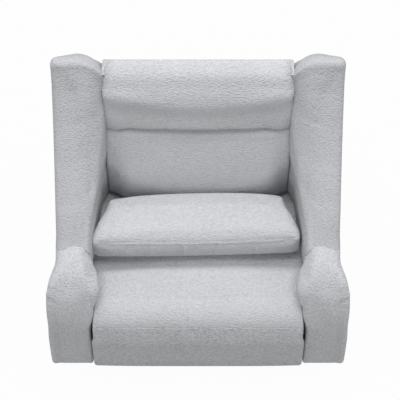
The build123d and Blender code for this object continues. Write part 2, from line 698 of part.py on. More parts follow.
def rounded_top(half, low, top, r):
    """Block seen from the front with its two upper corners rounded."""
    corner = half - r
    return prism_y(
        -LONG, LONG,
        (-half, low), (half, low), (half, top - r), (corner_mid(corner, top - r, r, 1, 1), (corner, top)),
        (-corner, top), (corner_mid(-corner, top - r, r, -1, 1), (-half, top - r)),
    )


def make_headrest_cushion():
    half = CUSHION_HALF_W
    low = SEAM_Z + SEAM_GAP / 2
    r = CUSHION_CORNER_R
    top = HEAD_TOP_Z
    middle = ((SEAM_Y + CUSHION_TOP_Y) / 2 - CUSHION_BULGE, (low + top) / 2)
    roll = PANEL_T / 2
    crest = (
        CUSHION_TOP_Y + HEAD_ROLL_R / 2 - HEAD_ROLL_SAG * ARC, top - HEAD_ROLL_R / 2 + HEAD_ROLL_SAG * ARC
    )
    side = prism_x(
        -half, half,
        (CUSHION_REAR_Y, low), (SEAM_Y, low), (middle, (CUSHION_TOP_Y, top - HEAD_ROLL_R)),
        (crest, (CUSHION_TOP_Y + HEAD_ROLL_R, top)),
        (HEAD_REAR_Y - roll, top),
        (corner_mid(HEAD_REAR_Y - roll, top - roll, roll, 1, 1), (HEAD_REAR_Y, top - roll)),
        (HEAD_REAR_Y, PANEL_TOP_Z), (FRAME_FRONT_Y, PANEL_TOP_Z),
        (FRAME_FRONT_Y, FRAME_TOP_Z), (CUSHION_REAR_Y, FRAME_TOP_Z),
    )
    return side & rounded_top(half, low, top, r) & cushion_plan(low, top, middle[0] - SEAM_GAP)


def make_back_panel():
    low_top = WING_INSIDE_Z - WING_ARM_GAP
    upper = prism_x(
        -BACK_HALF_W, BACK_HALF_W,
        (REAR_Y, PANEL_BOTTOM_Z), (REAR_Y, PANEL_BEND_Z), (PANEL_TOP_Y, PANEL_TOP_Z),
        (PANEL_TOP_Y - PANEL_T, PANEL_TOP_Z), (PANEL_IN_Y, PANEL_BEND_Z), (PANEL_IN_Y, PANEL_BOTTOM_Z),
    )
    upper &= rounded_top(BACK_HALF_W, PANEL_BOTTOM_Z, PANEL_TOP_Z, PANEL_CORNER_R)
    return upper + box(-PANEL_LOW_HALF_W, PANEL_LOW_HALF_W, PANEL_IN_Y, REAR_Y, PANEL_BOTTOM_Z, low_top)


def make_back_rib():
    return box(RIB_X, RIB_X + RIB_T, FRAME_REAR_Y, PANEL_IN_Y, RIB_BOTTOM_Z, PANEL_BEND_Z)


def wing_values(z):
    """Section values at a height, on smooth curves through the three set sections."""
    rows = WING_SECTIONS
    shares = []
    for row in rows:
        others = [other[0] for other in rows if other is not row]
        shares.append(math.prod((z - h) / (row[0] - h) for h in others))
    return [sum(s * row[i] for s, row in zip(shares, rows)) for i in range(1, len(rows[0]))]


def quarter(x, y, across, deep, start):
    """Points of a quarter turn of an oval about its centre, stepping back from a start angle."""
    turns = [math.radians(start - i * TURN / 4 / CORNER_STEPS) for i in range(CORNER_STEPS + 1)]
    return [(x + across * math.cos(a), y + deep * math.sin(a)) for a in turns]


def wing_rear_y(z):
    """Rear face, which leans in above the bend of the outer back."""
    lean = max(0, z - PANEL_BEND_Z) / (WING_TOP_Z - PANEL_BEND_Z)
    return REAR_Y + (WING_TOP_Y + WING_TOP_T - REAR_Y) * lean


def wing_section(z, front_y, knee_y, crease_y):
    """Closed outline of the wing at one height: rear, outer edge, front roll, inner face."""
    rear_y = wing_rear_y(z)
    rise = min(1, max(0, 1 + (z - PANEL_BEND_Z) / WING_EASE_RISE))
    ease_x, corner_x = WING_REAR_EASE[0], WING_REAR_R[0]
    ease_y = min(WING_REAR_EASE[1] * rise, (rear_y - crease_y) / 2)
    corner_y = min(WING_REAR_R[1] * rise, (rear_y - front_y) / 2)
    outline = quarter(BACK_HALF_W + ease_x, rear_y - ease_y, ease_x, ease_y, TURN / 2)
    outline += quarter(WING_OUTER_X - corner_x, rear_y - corner_y, corner_x, corner_y, TURN / 4)
    r = WING_OUTER_R
    deep = min(r, (rear_y - corner_y - front_y) / 2)
    outline += quarter(WING_OUTER_X - r, front_y + deep, r, deep, 0)
    hip_y = min(front_y + WING_INNER_R, knee_y - SEAM_GAP)
    slim = quarter(WING_FRONT_X, hip_y, WING_INNER_R, hip_y - front_y, -TURN / 4)
    slim += [(WING_KNEE_X, knee_y), (BACK_HALF_W, crease_y)]
    roll_x = WING_OUTER_X - WING_ROLL_IN
    fullness = min(1, max(0, z - WING_ROLL_Z) / WING_FULL_RISE)
    for i, (x, y) in enumerate(slim):
        turn = math.radians(i * TURN / 4 / (len(slim) - 1))
        full_x = roll_x - (roll_x - BACK_HALF_W) * math.sin(turn)
        full_y = crease_y - (crease_y - front_y) * math.cos(turn)
        outline.append((x + (full_x - x) * fullness, y + (full_y - y) * fullness))
    return face_of(Plane.XY.offset(z), *outline)


def wing_frame_block():
    return box(
        BACK_HALF_W, BACK_HALF_W + WING_FRAME_T, FRAME_FRONT_Y + SEAM_GAP, WING_FRAME_Y, *WING_FRAME_Z
    )


def make_wing():
    top_step = (WING_TOP_Z - PANEL_BEND_Z) / WING_STEPS
    heights = [WING_FOOT_Z, WING_ROLL_Z, (WING_ROLL_Z + PANEL_BEND_Z) / 2]
    heights += [PANEL_BEND_Z + i * top_step for i in range(WING_STEPS + 1)]
    wing = loft([wing_section(z, *wing_values(z)) for z in heights], ruled=True)
    foot_knee_y, foot_crease_y = WING_SECTIONS[0][-2:]
    in_x, out_x = BACK_HALF_W - TRIM, WING_OUTER_X + TRIM
    low, top = WING_FOOT_Z - TRIM, WING_TOP_Z + TRIM
    crown_r = WING_OUTER_R + TRIM
    front = prism_y(
        -LONG, LONG,
        (in_x, low), (out_x, low), (out_x, top - crown_r),
        (corner_mid(out_x - crown_r, top - crown_r, crown_r, 1, 1), (out_x - crown_r, top)),
        (WING_FRONT_X, top),
        (((WING_FRONT_X + in_x) / 2, top - WING_TOP_DROP / 4), (in_x, top - WING_TOP_DROP)),
    )
    wing = wing & front
    wing += prism_z(
        WING_INSIDE_Z, WING_FOOT_Z,
        (BACK_HALF_W, REAR_Y), (BACK_HALF_W, foot_crease_y), (WING_KNEE_X, foot_knee_y),
        (WING_HIP_X, WING_INSIDE_FRONT_Y), (WING_INSIDE_X, WING_INSIDE_FRONT_Y),
        (WING_INSIDE_X, REAR_Y),
    )
    wing -= arm_section(WING_ARM_GAP, ARM_FRONT_Y - LONG, WING_REAR_CUT_Y)
    lift = ARM_CREST_Z + WING_REAR_LIFT
    wing -= box(WING_INSIDE_X, LONG, WING_REAR_CUT_Y - FIT, LONG, BODY_BOTTOM_Z, lift)
    return wing - wing_frame_block()


# Pillow
def make_lumbar_pillow():
    half_l, half_d, half_g = PILLOW_HALF_L, PILLOW_HALF_D, PILLOW_GUSSET / 2
    out_l, out_d = half_l + TRIM, half_d + TRIM
    side = prism_x(
        -out_l, out_l,
        (-out_d, -half_g), (-out_d, half_g), ((0, half_g + PILLOW_CROWN), (out_d, half_g)),
        (out_d, -half_g), ((0, -half_g - PILLOW_SAG), (-out_d, -half_g)),
    )
    edge = half_d - PILLOW_DRAW / 2
    middle, rear = half_l - PILLOW_END_DRAW, half_l - PILLOW_REAR_DRAW
    plan = prism_z(
        -LONG, LONG,
        (-half_l, -edge), ((0, -half_d), (half_l, -edge)), ((middle, 0), (rear, edge)),
        ((0, half_d), (-rear, edge)), ((-middle, 0), (-half_l, -edge)),
    )
    pillow = Rot(PILLOW_TILT_DEG, 0, 0) * (side & plan)
    rest_z = NOSE_TOP_Z + SEAT_CROWN + PILLOW_REST
    return Pos(0, PILLOW_Y, rest_z - pillow.bounding_box().min.Z) * pillow


def both_sides(nodes, name, part):
    """Add a piece and its mirror image as right_ and left_ nodes."""
    nodes["right_" + name] = part
    nodes["left_" + name] = mirrored(part)


def build():
    nodes = {
        "floor_glide_ring": make_glide_ring(),
        "base_plate": make_base_plate(),
        "base_hub": make_base_hub(),
        "lower_bearing_race": make_race(HUB_TOP_Z),
        "bearing_rollers": make_bearing_rollers(),
        "swivel_spindle": make_spindle(),
        "upper_bearing_race": make_race(UPPER_RACE_Z),
        "turntable": make_turntable(),
        "turntable_bolts": make_turntable_bolts(),
        "front_cross_tube": make_cross_tube(-1),
        "rear_cross_tube": make_cross_tube(1),
        "front_cross_rail": make_cross_rail(FRONT_RAIL_Y),
        "rear_cross_rail": make_cross_rail(REAR_RAIL_Y),
        "front_spring_rail": make_spring_rail(FRONT_RAIL_Y),
        "rear_spring_rail": make_spring_rail(REAR_RAIL_Y),
        "seat_springs": make_seat_springs(),
        "dust_cover": make_dust_cover(),
        "seat_cushion": make_seat_cushion(),
        "footrest_pins": make_footrest_pins(),
        "arm_bolts": make_arm_bolts(),
        "footrest_board": board_block(),
        "footrest_pad": make_footrest_pad(),
        "footrest_crank_pins": make_crank_pins(FOOT_PIN),
        "recline_pins": make_recline_pins(),
        "back_crank_pins": make_crank_pins(BACK_PIN),
        "back_bottom_rail": make_back_bottom_rail(),
        "back_middle_rail": make_back_rail(MID_RAIL_Z),
        "back_top_rail": make_back_rail(FRAME_TOP_Z - TOP_RAIL_H),
        "back_straps": make_back_straps(),
        "lower_back_cushion": make_lower_back_cushion(),
        "headrest_cushion": make_headrest_cushion(),
        "back_panel": make_back_panel(),
        "lumbar_pillow": make_lumbar_pillow(),
    }
    both_sides(nodes, "side_plate", make_side_plate())
    both_sides(nodes, "seat_rail", make_seat_rail())
    both_sides(nodes, "arm_frame", make_arm_frame())
    both_sides(nodes, "arm", make_arm())
    both_sides(nodes, "footrest_arm", make_footrest_arm())
    both_sides(nodes, "tie_rod", make_tie_rod())
    both_sides(nodes, "back_bracket", make_back_bracket())
    both_sides(nodes, "back_post", make_back_post())
    both_sides(nodes, "back_rib", make_back_rib())
    both_sides(nodes, "wing_frame", wing_frame_block())
    both_sides(nodes, "wing", make_wing())
    return nodes


os.makedirs("parts", exist_ok=True)
for node, part in build().items():
    if isinstance(part, list):
        part = Compound(children=[solid for piece in part for solid in piece.solids()])
    export_step(part, f"parts/{node}.step")
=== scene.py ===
"""Looks of a swivel recliner: padded upholstery, seams, frame finishes, floor, light and camera.

Metres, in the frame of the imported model: +Z up, the chair faces -Y, +X is on the right.
"""
import json
import logging
import math
from dataclasses import dataclass
from enum import Enum
from typing import Any, Callable, Iterable, Sequence

import bmesh
import bpy
import numpy as np
from bpy.types import Material, Mesh, Node, Object
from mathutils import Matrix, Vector
from mathutils.bvhtree import BVHTree


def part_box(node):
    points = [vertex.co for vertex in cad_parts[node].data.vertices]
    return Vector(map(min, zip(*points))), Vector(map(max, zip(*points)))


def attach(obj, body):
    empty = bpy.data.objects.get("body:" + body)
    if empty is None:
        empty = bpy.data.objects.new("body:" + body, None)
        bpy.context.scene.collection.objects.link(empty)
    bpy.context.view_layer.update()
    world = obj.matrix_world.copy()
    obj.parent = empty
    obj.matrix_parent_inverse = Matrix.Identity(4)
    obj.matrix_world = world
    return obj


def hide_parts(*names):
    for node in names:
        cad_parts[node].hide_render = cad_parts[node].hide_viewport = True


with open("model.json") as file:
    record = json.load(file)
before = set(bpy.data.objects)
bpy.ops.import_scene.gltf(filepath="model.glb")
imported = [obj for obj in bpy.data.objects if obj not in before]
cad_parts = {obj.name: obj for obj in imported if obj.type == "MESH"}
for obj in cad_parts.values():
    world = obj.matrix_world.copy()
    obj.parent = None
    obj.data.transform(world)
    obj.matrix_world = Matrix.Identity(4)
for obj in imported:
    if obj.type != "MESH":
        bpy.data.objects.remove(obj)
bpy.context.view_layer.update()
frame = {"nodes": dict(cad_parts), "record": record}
LOG = logging.getLogger("recliner")
MM = 0.001
WELD = 0.01 * MM
TINY = 1e-6
WHITE = (1.0, 1.0, 1.0, 1.0)

# Radius and height of the seat's rolled front, which the footrest pad turns round.
NOSE_R = 80 * MM
NOSE_Z = 345 * MM

Points = np.ndarray
Span = tuple[float, ...]
Share = Callable[[Points], Points]
Colour = tuple[float, float, float]
Place = tuple[float, float, float]
Polyline = Sequence[Place]
Socket = bpy.types.NodeSocket


class Side(Enum):
    """Side of the chair, with the sign of its x."""

    RIGHT = 1
    LEFT = -1


class Grain(Enum):
    """Direction that the yarn of the cover runs in, as a turn about x, y and z in degrees."""

    ACROSS = (0.0, 14.0, 24.0)
    UPRIGHT = (0.0, 52.0, 20.0)


# Shader maths
class Value:
    """A number socket that takes part in Python arithmetic."""

    def __init__(self, kit: "NodeKit", socket: Socket) -> None:
        """Wrap a socket of a tree.

        Args:
            kit: Tree that holds the socket.
            socket: Output socket.
        """
        self.kit = kit
        self.socket = socket

    def _with(self, operation: str, first: Any, second: Any) -> "Value":
        """Add one Math node.

        Args:
            operation: Math node operation.
            first: Value or number on the left.
            second: Value or number on the right.

        Returns:
            The node's result.
        """
        node = self.kit.node("ShaderNodeMath", {"operation": operation}, {0: first, 1: second})
        return Value(self.kit, node.outputs[0])

    def __add__(self, other: Any) -> "Value":
        """Sum."""
        return self._with("ADD", self, other)

    def __radd__(self, other: Any) -> "Value":
        """Sum, number first."""
        return self._with("ADD", other, self)

    def __sub__(self, other: Any) -> "Value":
        """Difference."""
        return self._with("SUBTRACT", self, other)

    def __rsub__(self, other: Any) -> "Value":
        """Difference, number first."""
        return self._with("SUBTRACT", other, self)

    def __mul__(self, other: Any) -> "Value":
        """Product."""
        return self._with("MULTIPLY", self, other)

    def most(self, other: Any) -> "Value":
        """Larger of two."""
        return self._with("MAXIMUM", self, other)


class NodeKit:
    """Builder of one node tree."""

    def __init__(self, tree: bpy.types.NodeTree) -> None:
        """Start from an empty tree.

        Args:
            tree: Tree to fill.
        """
        self.tree = tree
        self.tree.nodes.clear()

    def node(self, kind: str, settings: dict | None = None, inputs: dict | None = None) -> Node:
        """Add a node, set it up and feed it.

        Args:
            kind: Node type.
            settings: Node properties.
            inputs: Socket name or index to a number, colour, socket or Value.

        Returns:
            The new node.
        """
        made = self.tree.nodes.new(kind)
        for key, setting in (settings or {}).items():
            setattr(made, key, setting)
        for key, given in (inputs or {}).items():
            self.feed(made.inputs[key], given)
        return made

    def out(self, kind: str, settings: dict | None = None, inputs: dict | None = None) -> Socket:
        """First output of a new node."""
        return self.node(kind, settings, inputs).outputs[0]

    def feed(self, socket: Socket, given: Any) -> None:
        """Set or link an input.

        Args:
            socket: Input socket.
            given: Number, colour, socket or Value.
        """
        if isinstance(given, Value):
            given = given.socket
        if isinstance(given, Socket):
            self.tree.links.new(given, socket)
        else:
            socket.default_value = given

    def value(self, node: Node, output: str | int = 0) -> Value:
        """Wrap an output of a node."""
        return Value(self, node.outputs[output])


class MaterialKit(NodeKit):
    """Builder of one material."""

    def __init__(self, name: str) -> None:
        """Make a material with a Principled shader.

        Args:
            name: Material name.
        """
        self.material = bpy.data.materials.new(name)
        self.material.use_nodes = True
        super().__init__(self.material.node_tree)
        self.shader = self.node("ShaderNodeBsdfPrincipled")
        self.output = self.node("ShaderNodeOutputMaterial", {}, {"Surface": self.shader.outputs[0]})

    def place(self, turn: Place = (0, 0, 0), scale: Place = (1, 1, 1)) -> Socket:
        """Object coordinates, turned and scaled.

        Args:
            turn: Turn about x, y and z in degrees.
            scale: Scale along x, y and z after the turn.

        Returns:
            Vector socket.
        """
        here = self.node("ShaderNodeTexCoord").outputs["Object"]
        turned = self.out(
            "ShaderNodeMapping",
            {"vector_type": "TEXTURE"},
            {"Vector": here, "Rotation": [math.radians(angle) for angle in turn]},
        )
        return self.out("ShaderNodeMapping", {}, {"Vector": turned, "Scale": scale})

    def noise(self, vector: Socket, scale: float, detail: float = 2.0) -> Value:
        """Noise from 0 to 1.

        Args:
            vector: Coordinates.
            scale: Features per metre, roughly.
            detail: Octaves.

        Returns:
            Noise value.
        """
        sockets = {"Vector": vector, "Scale": scale, "Detail": detail}
        return self.value(self.node("ShaderNodeTexNoise", {}, sockets), "Fac")

    def mix(self, factor: Any, first: Colour, second: Colour) -> Socket:
        """Blend two colours.

        Args:
            factor: Share of the second colour.
            first: RGB colour.
            second: RGB colour.

        Returns:
            Colour socket.
        """
        node = self.node("ShaderNodeMix", {"data_type": "RGBA", "clamp_factor": True})
        for name, given in (("Factor", factor), ("A", rgba(first)), ("B", rgba(second))):
            self.feed(node.inputs[name], given)
        return node.outputs["Result"]

    def bump(self, height: Value, strength: float, distance: float) -> None:
        """Feed the shader's normal from a height.

        Args:
            height: Height from 0 to 1.
            strength: Bump strength.
            distance: Height in metres of a full step.
        """
        sockets = {"Strength": strength, "Distance": distance, "Height": height}
        self.set(Normal=self.out("ShaderNodeBump", {}, sockets))

    def set(self, **sockets: Any) -> None:
        """Set sockets of the Principled shader by name, with underscores for spaces."""
        for key, given in sockets.items():
            self.feed(self.shader.inputs[key.replace("_", " ")], given)


def rgba(colour: Colour) -> tuple[float, float, float, float]:
    """Colour with full alpha."""
    return (*colour, 1.0)


# Finishes
@dataclass(frozen=True)
class BoucleFinish:
    """Pale grey cover of short looped yarn, laid in slanting dashes."""

    name: str
    grain: Grain
    pale: Colour = (0.655, 0.661, 0.684)
    deep: Colour = (0.465, 0.470, 0.490)
    loop_per_m: float = 250.0
    loop_stretch: float = 0.42
    patch_per_m: float = 170.0
    cloud_per_m: float = 7.0
    loop_tone: float = 0.75
    patch_tone: float = 0.65
    cloud_tone: float = 0.4
    tone: float = 0.62
    # Colour contrast of the yarn; above 1 it also paints the relief shade that grazing light throws
    # on upright faces.
    yarn_contrast_and_painted_shade: float = 1.0
    relief: float = 2.8 * MM

    def make(self) -> Material:
        """Build the material.

        Returns:
            The material.
        """
        kit = MaterialKit(self.name)
        along = kit.place(self.grain.value, (self.loop_stretch, 1, 1))
        plain = kit.place()
        cells = kit.node(
            "ShaderNodeTexVoronoi",
            {"feature": "SMOOTH_F1"},
            {"Vector": along, "Scale": self.loop_per_m, "Smoothness": 0.35},
        )
        loop = 1 - kit.value(cells, "Distance")
        patch = kit.noise(along, self.patch_per_m, 2.0)
        cloud = kit.noise(plain, self.cloud_per_m, 3.0)
        yarn = (loop - 0.55) * self.loop_tone + (patch - 0.5) * self.patch_tone
        # Scaling the yarn term up paints relief shade into the colour on the arm and footrest
        # copies.
        shade = yarn * self.yarn_contrast_and_painted_shade + (cloud - 0.5) * self.cloud_tone + self.tone
        kit.set(Base_Color=kit.mix(shade, self.deep, self.pale), Roughness=0.98 - loop * 0.12)
        kit.set(Sheen_Weight=0.08, Sheen_Roughness=0.5, Specular_IOR_Level=0.2)
        kit.bump(loop * 0.8 + patch * 0.25, 0.9, self.relief)
        return kit.material


@dataclass(frozen=True)
class EnamelFinish:
    """Powder-coated steel."""

    name: str
    colour: Colour
    worn: Colour
    peel_per_m: float = 900.0
    rub_per_m: float = 16.0

    def make(self) -> Material:
        """Build the material.

        Returns:
            The material.
        """
        kit = MaterialKit(self.name)
        spot = kit.place()
        peel = kit.noise(spot, self.peel_per_m, 2.0)
        rub = kit.noise(spot, self.rub_per_m, 5.0)
        kit.set(
            Base_Color=kit.mix((rub - 0.52) * 2.2, self.colour, self.worn),
            Roughness=0.40 + peel * 0.16 + (rub - 0.5) * 0.2,
            Specular_IOR_Level=0.5,
        )
        kit.bump(peel, 0.22, 0.25 * MM)
        return kit.material


@dataclass(frozen=True)
class PlatedFinish:
    """Bare or plated steel with fine lines."""

    name: str
    colour: Colour
    dull: Colour
    rough: float
    line_per_m: float = 1400.0
    stain_per_m: float = 45.0

    def make(self) -> Material:
        """Build the material.

        Returns:
            The material.
        """
        kit = MaterialKit(self.name)
        lines = kit.noise(kit.place((0, 0, 0), (1, 1, 0.06)), self.line_per_m, 2.0)
        stain = kit.noise(kit.place(), self.stain_per_m, 4.0)
        kit.set(
            Base_Color=kit.mix((stain - 0.45) * 1.6, self.colour, self.dull),
            Metallic=1.0,
            Roughness=self.rough + lines * 0.12 + (stain - 0.5) * 0.14,
        )
        kit.bump(lines, 0.10, 0.1 * MM)
        return kit.material


@dataclass(frozen=True)
class TimberFinish:
    """Plain frame timber and plywood."""

    name: str
    early: Colour = (0.60, 0.43, 0.26)
    late: Colour = (0.38, 0.24, 0.12)
    sway_per_m: float = 22.0
    ring_per_m: float = 26.0
    pore_per_m: float = 900.0

    def make(self) -> Material:
        """Build the material.

        Returns:
            The material.
        """
        kit = MaterialKit(self.name)
        long = kit.place((0, 0, 0), (0.06, 1, 1))
        sway = kit.noise(long, self.sway_per_m, 3.0)
        rings = kit.node(
            "ShaderNodeTexWave",
            {"wave_type": "BANDS", "bands_direction": "Z"},
            {"Vector": long, "Scale": self.ring_per_m, "Distortion": 7.0, "Detail": 3.0},
        )
        band = kit.value(rings, "Fac")
        pores = kit.noise(kit.place((0, 0, 0), (0.03, 1, 1)), self.pore_per_m, 2.0)
        tone = band * 0.55 + sway * 0.35 + pores * 0.2 - 0.1
        kit.set(Base_Color=kit.mix(tone, self.early, self.late), Roughness=0.62 + pores * 0.2)
        kit.bump(pores * 0.6 + band * 0.4, 0.18, 0.3 * MM)
        return kit.material


@dataclass(frozen=True)
class WovenFinish:
    """Thin woven or felted cloth, such as webbing and the underside cloth."""

    name: str
    colour: Colour
    thread: Colour
    per_m: float
    fluff_per_m: float = 260.0

    def make(self) -> Material:
        """Build the material.

        Returns:
            The material.
        """
        kit = MaterialKit(self.name)
        spot = kit.place()
        rows = [
            kit.value(
                kit.node(
                    "ShaderNodeTexWave",
                    {"wave_type": "BANDS", "bands_direction": way},
                    {"Vector": spot, "Scale": self.per_m, "Distortion": 0.6, "Detail": 1.0},
                )
            )
            for way in ("X", "Y")
        ]
        weave = rows[0] * 0.5 + rows[1] * 0.5
        fluff = kit.noise(spot, self.fluff_per_m, 3.0)
        kit.set(
            Base_Color=kit.mix(weave * 0.6 + fluff * 0.5 - 0.1, self.colour, self.thread),
            Roughness=0.88 + fluff * 0.1,
            Specular_IOR_Level=0.25,
        )
        kit.bump(weave * 0.7 + fluff * 0.3, 0.4, 0.5 * MM)
        return kit.material


@dataclass(frozen=True)
class RubberFinish:
    """Matt rubber."""

    name: str
    colour: Colour = (0.022, 0.022, 0.023)
    dusty: Colour = (0.07, 0.068, 0.065)
    dust_per_m: float = 30.0
    grit_per_m: float = 1100.0

    def make(self) -> Material:
        """Build the material.

        Returns:
            The material.
        """
        kit = MaterialKit(self.name)
        spot = kit.place()
        dust = kit.noise(spot, self.dust_per_m, 4.0)
        grit = kit.noise(spot, self.grit_per_m, 2.0)
        kit.set(
            Base_Color=kit.mix((dust - 0.5) * 1.6, self.colour, self.dusty),
            Roughness=0.72 + grit * 0.18,
        )
        kit.bump(grit, 0.2, 0.2 * MM)
        return kit.material


class Finishes:
    """All materials of the chair, made once."""

    def __init__(self) -> None:
        """Build every material."""
        self.cover_across = BoucleFinish("boucle_across", Grain.ACROSS).make()
        # Arm cover: raised yarn contrast as painted relief shade on its upright faces.
        self.cover_upright_painted_shade = BoucleFinish("boucle_upright_painted_shade", Grain.UPRIGHT, yarn_contrast_and_painted_shade=1.5).make()
        # Footrest cover: strongly raised yarn contrast as painted relief shade on the front under
        # grazing light.
        self.cover_front_painted_shade = BoucleFinish(
            "boucle_front_painted_shade", Grain.ACROSS, yarn_contrast_and_painted_shade=2.4, relief=4 * MM
        ).make()
        # Wing cover: a darker copy of the same yarn colours, painted shade for the wing fronts.
        self.cover_wing_painted_shade = BoucleFinish(
            "boucle_wing_painted_shade", Grain.UPRIGHT, pale=(0.595, 0.601, 0.622), deep=(0.420, 0.425, 0.443)
        ).make()
        self.thread = WovenFinish(
            "sewing_thread", (0.60, 0.606, 0.625), (0.44, 0.445, 0.46), 900
        ).make()
        hidden = {
            "dust_cloth": WovenFinish("dust_cloth", (0.02, 0.02, 0.021), (0.05, 0.05, 0.052), 420),
            "strap_webbing": WovenFinish("webbing", (0.05, 0.045, 0.04), (0.16, 0.14, 0.11), 520),
            "frame_wood": TimberFinish("frame_timber"),
            "black_steel": EnamelFinish("black_enamel", (0.018, 0.018, 0.02), (0.055, 0.055, 0.06)),
            "zinc_steel": PlatedFinish("zinc_plate", (0.66, 0.66, 0.67), (0.42, 0.42, 0.41), 0.26),
            "bearing_steel": PlatedFinish("ground_steel", (0.72, 0.72, 0.74), (0.5,) * 3, 0.16),
            "spring_steel": PlatedFinish("spring_wire", (0.3, 0.3, 0.31), (0.14, 0.13, 0.12), 0.34),
            "glide_rubber": RubberFinish("glide_rubber"),
        }
        self.by_slot = {slot: finish.make() for slot, finish in hidden.items()}
        self.by_slot["upholstery"] = self.cover_across

    def dress_nodes(self) -> None:
        """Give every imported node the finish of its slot."""
        for part in frame["record"]["subparts"]:
            mesh = frame["nodes"][part["node"]].data
            mesh.materials.clear()
            mesh.materials.append(self.by_slot[part["material_slot"]])
            LOG.info("%s: %s", part["node"], part["material_slot"])


# Mesh helpers
def rows_of(items: bpy.types.bpy_prop_collection, key: str) -> Points:
    """Read one vector of every item.

    Args:
        items: Vertices or normals.
        key: Name of the vector.

    Returns:
        Rows of three numbers.
    """
    flat = np.zeros(len(items) * 3, np.float32)
    items.foreach_get(key, flat)
    return flat.reshape(-1, 3).astype(float)


def points_of(mesh: Mesh) -> Points:
    """Places of the vertices."""
    return rows_of(mesh.vertices, "co")


def normals_of(mesh: Mesh) -> Points:
    """Outward directions at the vertices."""
    return rows_of(mesh.vertex_normals, "vector")


def set_points(mesh: Mesh, points: Points) -> None:
    """Write vertex places back."""
    mesh.vertices.foreach_set("co", points.astype(np.float32).ravel())
    mesh.update()


def smoothstep(low: float, high: float, x: Points) -> Points:
    """Soft step from 0 at low to 1 at high, which may lie below low."""
    t = np.clip((x - low) / (high - low), 0, 1)
    return t * t * (3 - 2 * t)


def quarter(share: Points, most: float = 0.985) -> Points:
    """Fall along a quarter circle, from share 0 to share 1, cut off before it stands upright."""
    return 1 - np.sqrt(1 - np.clip(share, 0, most) ** 2)


def distance_to(points: Points, lines: Sequence[Polyline]) -> Points:
    """Distance of each point from the nearest of some polylines.

    Args:
        points: Rows of places.
        lines: Polylines, each a row of corners.

    Returns:
        One distance for each row.
    """
    best = np.full(len(points), 1.0)
    for line in lines:
        corners = np.array(line, float)
        for a, b in zip(corners[:-1], corners[1:]):
            run = b - a
            t = np.clip(((points - a) @ run) / max(run @ run, TINY**2), 0, 1)
            gap = points - (a + t[:, None] * run)
            best = np.minimum(best, np.sqrt((gap * gap).sum(1)))
    return best


def welded(node: str) -> bmesh.types.BMesh:
    """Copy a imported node's mesh with its corners joined.

    Args:
        node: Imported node.

    Returns:
        Working mesh.
    """
    work = bmesh.new()
    work.from_mesh(frame["nodes"][node].data)
    bmesh.ops.remove_doubles(work, verts=work.verts, dist=WELD)
    return work


def stored(name: str, work: bmesh.types.BMesh) -> Mesh:
    """Turn a working mesh into a plain one and free it.

    Args:
        name: Mesh name.
        work: Working mesh.

    Returns:
        The plain mesh.
    """
    mesh = bpy.data.meshes.new(name)
    work.to_mesh(mesh)
    work.free()
    return mesh


def linked(name: str, data: bpy.types.ID) -> Object:
    """Put a mesh, light or camera into the scene.

    Args:
        name: Object name.
        data: What the object shows.

    Returns:
        The object.
    """
    made = bpy.data.objects.new(name, data)
    bpy.context.scene.collection.objects.link(made)
    return made


def baked(work: Object) -> Mesh:
    """Apply a working object's modifiers and remove the object.

    Args:
        work: Working object.

    Returns:
        Plain mesh.
    """
    bpy.context.view_layer.update()
    graph = bpy.context.evaluated_depsgraph_get()
    mesh = bpy.data.meshes.new_from_object(work.evaluated_get(graph))
    bpy.data.objects.remove(work)
    return mesh


def add_grid(
    work: bmesh.types.BMesh, across: int, up: int, place: Callable[[float, float], Place]
) -> None:
    """Add a grid of faces.

    Args:
        work: Working mesh.
        across: Segments across.
        up: Segments up.
        place: Gives a corner's place from its shares across and up.
    """
    grid = bmesh.ops.create_grid(work, x_segments=across, y_segments=up, size=0.5)
    for vert in grid["verts"]:
        vert.co = place(vert.co.x + 0.5, vert.co.y + 0.5)


def add_piece(name: str, mesh: Mesh, body: str, slot: str, *nodes: str) -> Object:
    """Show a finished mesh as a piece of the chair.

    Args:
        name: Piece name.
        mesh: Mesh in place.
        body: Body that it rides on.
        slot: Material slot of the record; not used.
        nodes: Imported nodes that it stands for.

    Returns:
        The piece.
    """
    mesh.name = name
    mesh.polygons.foreach_set("use_smooth", np.ones(len(mesh.polygons), bool))
    piece = linked(name, mesh)
    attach(piece, body)
    if nodes:
        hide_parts(*nodes)
    LOG.info("%s: %d faces on %s", name, len(mesh.polygons), body)
    return piece


# Padded skins
class Axis(Enum):
    """Axis of the frame, as a column of the places."""

    X = 0
    Y = 1
    Z = 2


@dataclass(frozen=True)
class Region:
    """Part of a skin with soft borders.

    Along each axis, a span says where a point's share rises from 0 to 1 and, with four numbers,
    where it falls again. Wide is the distance from the middle of the chair.
    """

    x: Span = ()
    y: Span = ()
    z: Span = ()
    wide: Span = ()

    def __call__(self, points: Points) -> Points:
        """Share of each point.

        Args:
            points: Rows of places.

        Returns:
            From 0 outside to 1 inside, one for each row.
        """
        share = np.ones(len(points))
        columns = (*points.T, np.abs(points[:, 0]))
        for span, column in zip((self.x, self.y, self.z, self.wide), columns):
            if span:
                share *= smoothstep(span[0], span[1], column)
            if len(span) > 2:
                share *= smoothstep(span[3], span[2], column)
        return share


@dataclass(frozen=True)
class Move:
    """Shift of a region along one axis, in metres."""

    axis: Axis
    by: float
    where: Region


def moved(points: Points, moves: Iterable[Move]) -> Points:
    """Shift regions, each measured on the places before all the shifts.

    Args:
        points: Rows of places.
        moves: Shifts.

    Returns:
        New places.
    """
    out = points.copy()
    for move in moves:
        out[:, move.axis.value] += move.by * move.where(points)
    return out


@dataclass(frozen=True)
class Groove:
    """Half width and depth of what a seam pulls in; a ridge where the depth is below 0."""

    width: float
    depth: float


@dataclass(frozen=True)
class Stuffing:
    """Air pressure of a cover, and how far it may swell and be drawn in, in metres."""

    pressure: float
    swell: float
    draw: float


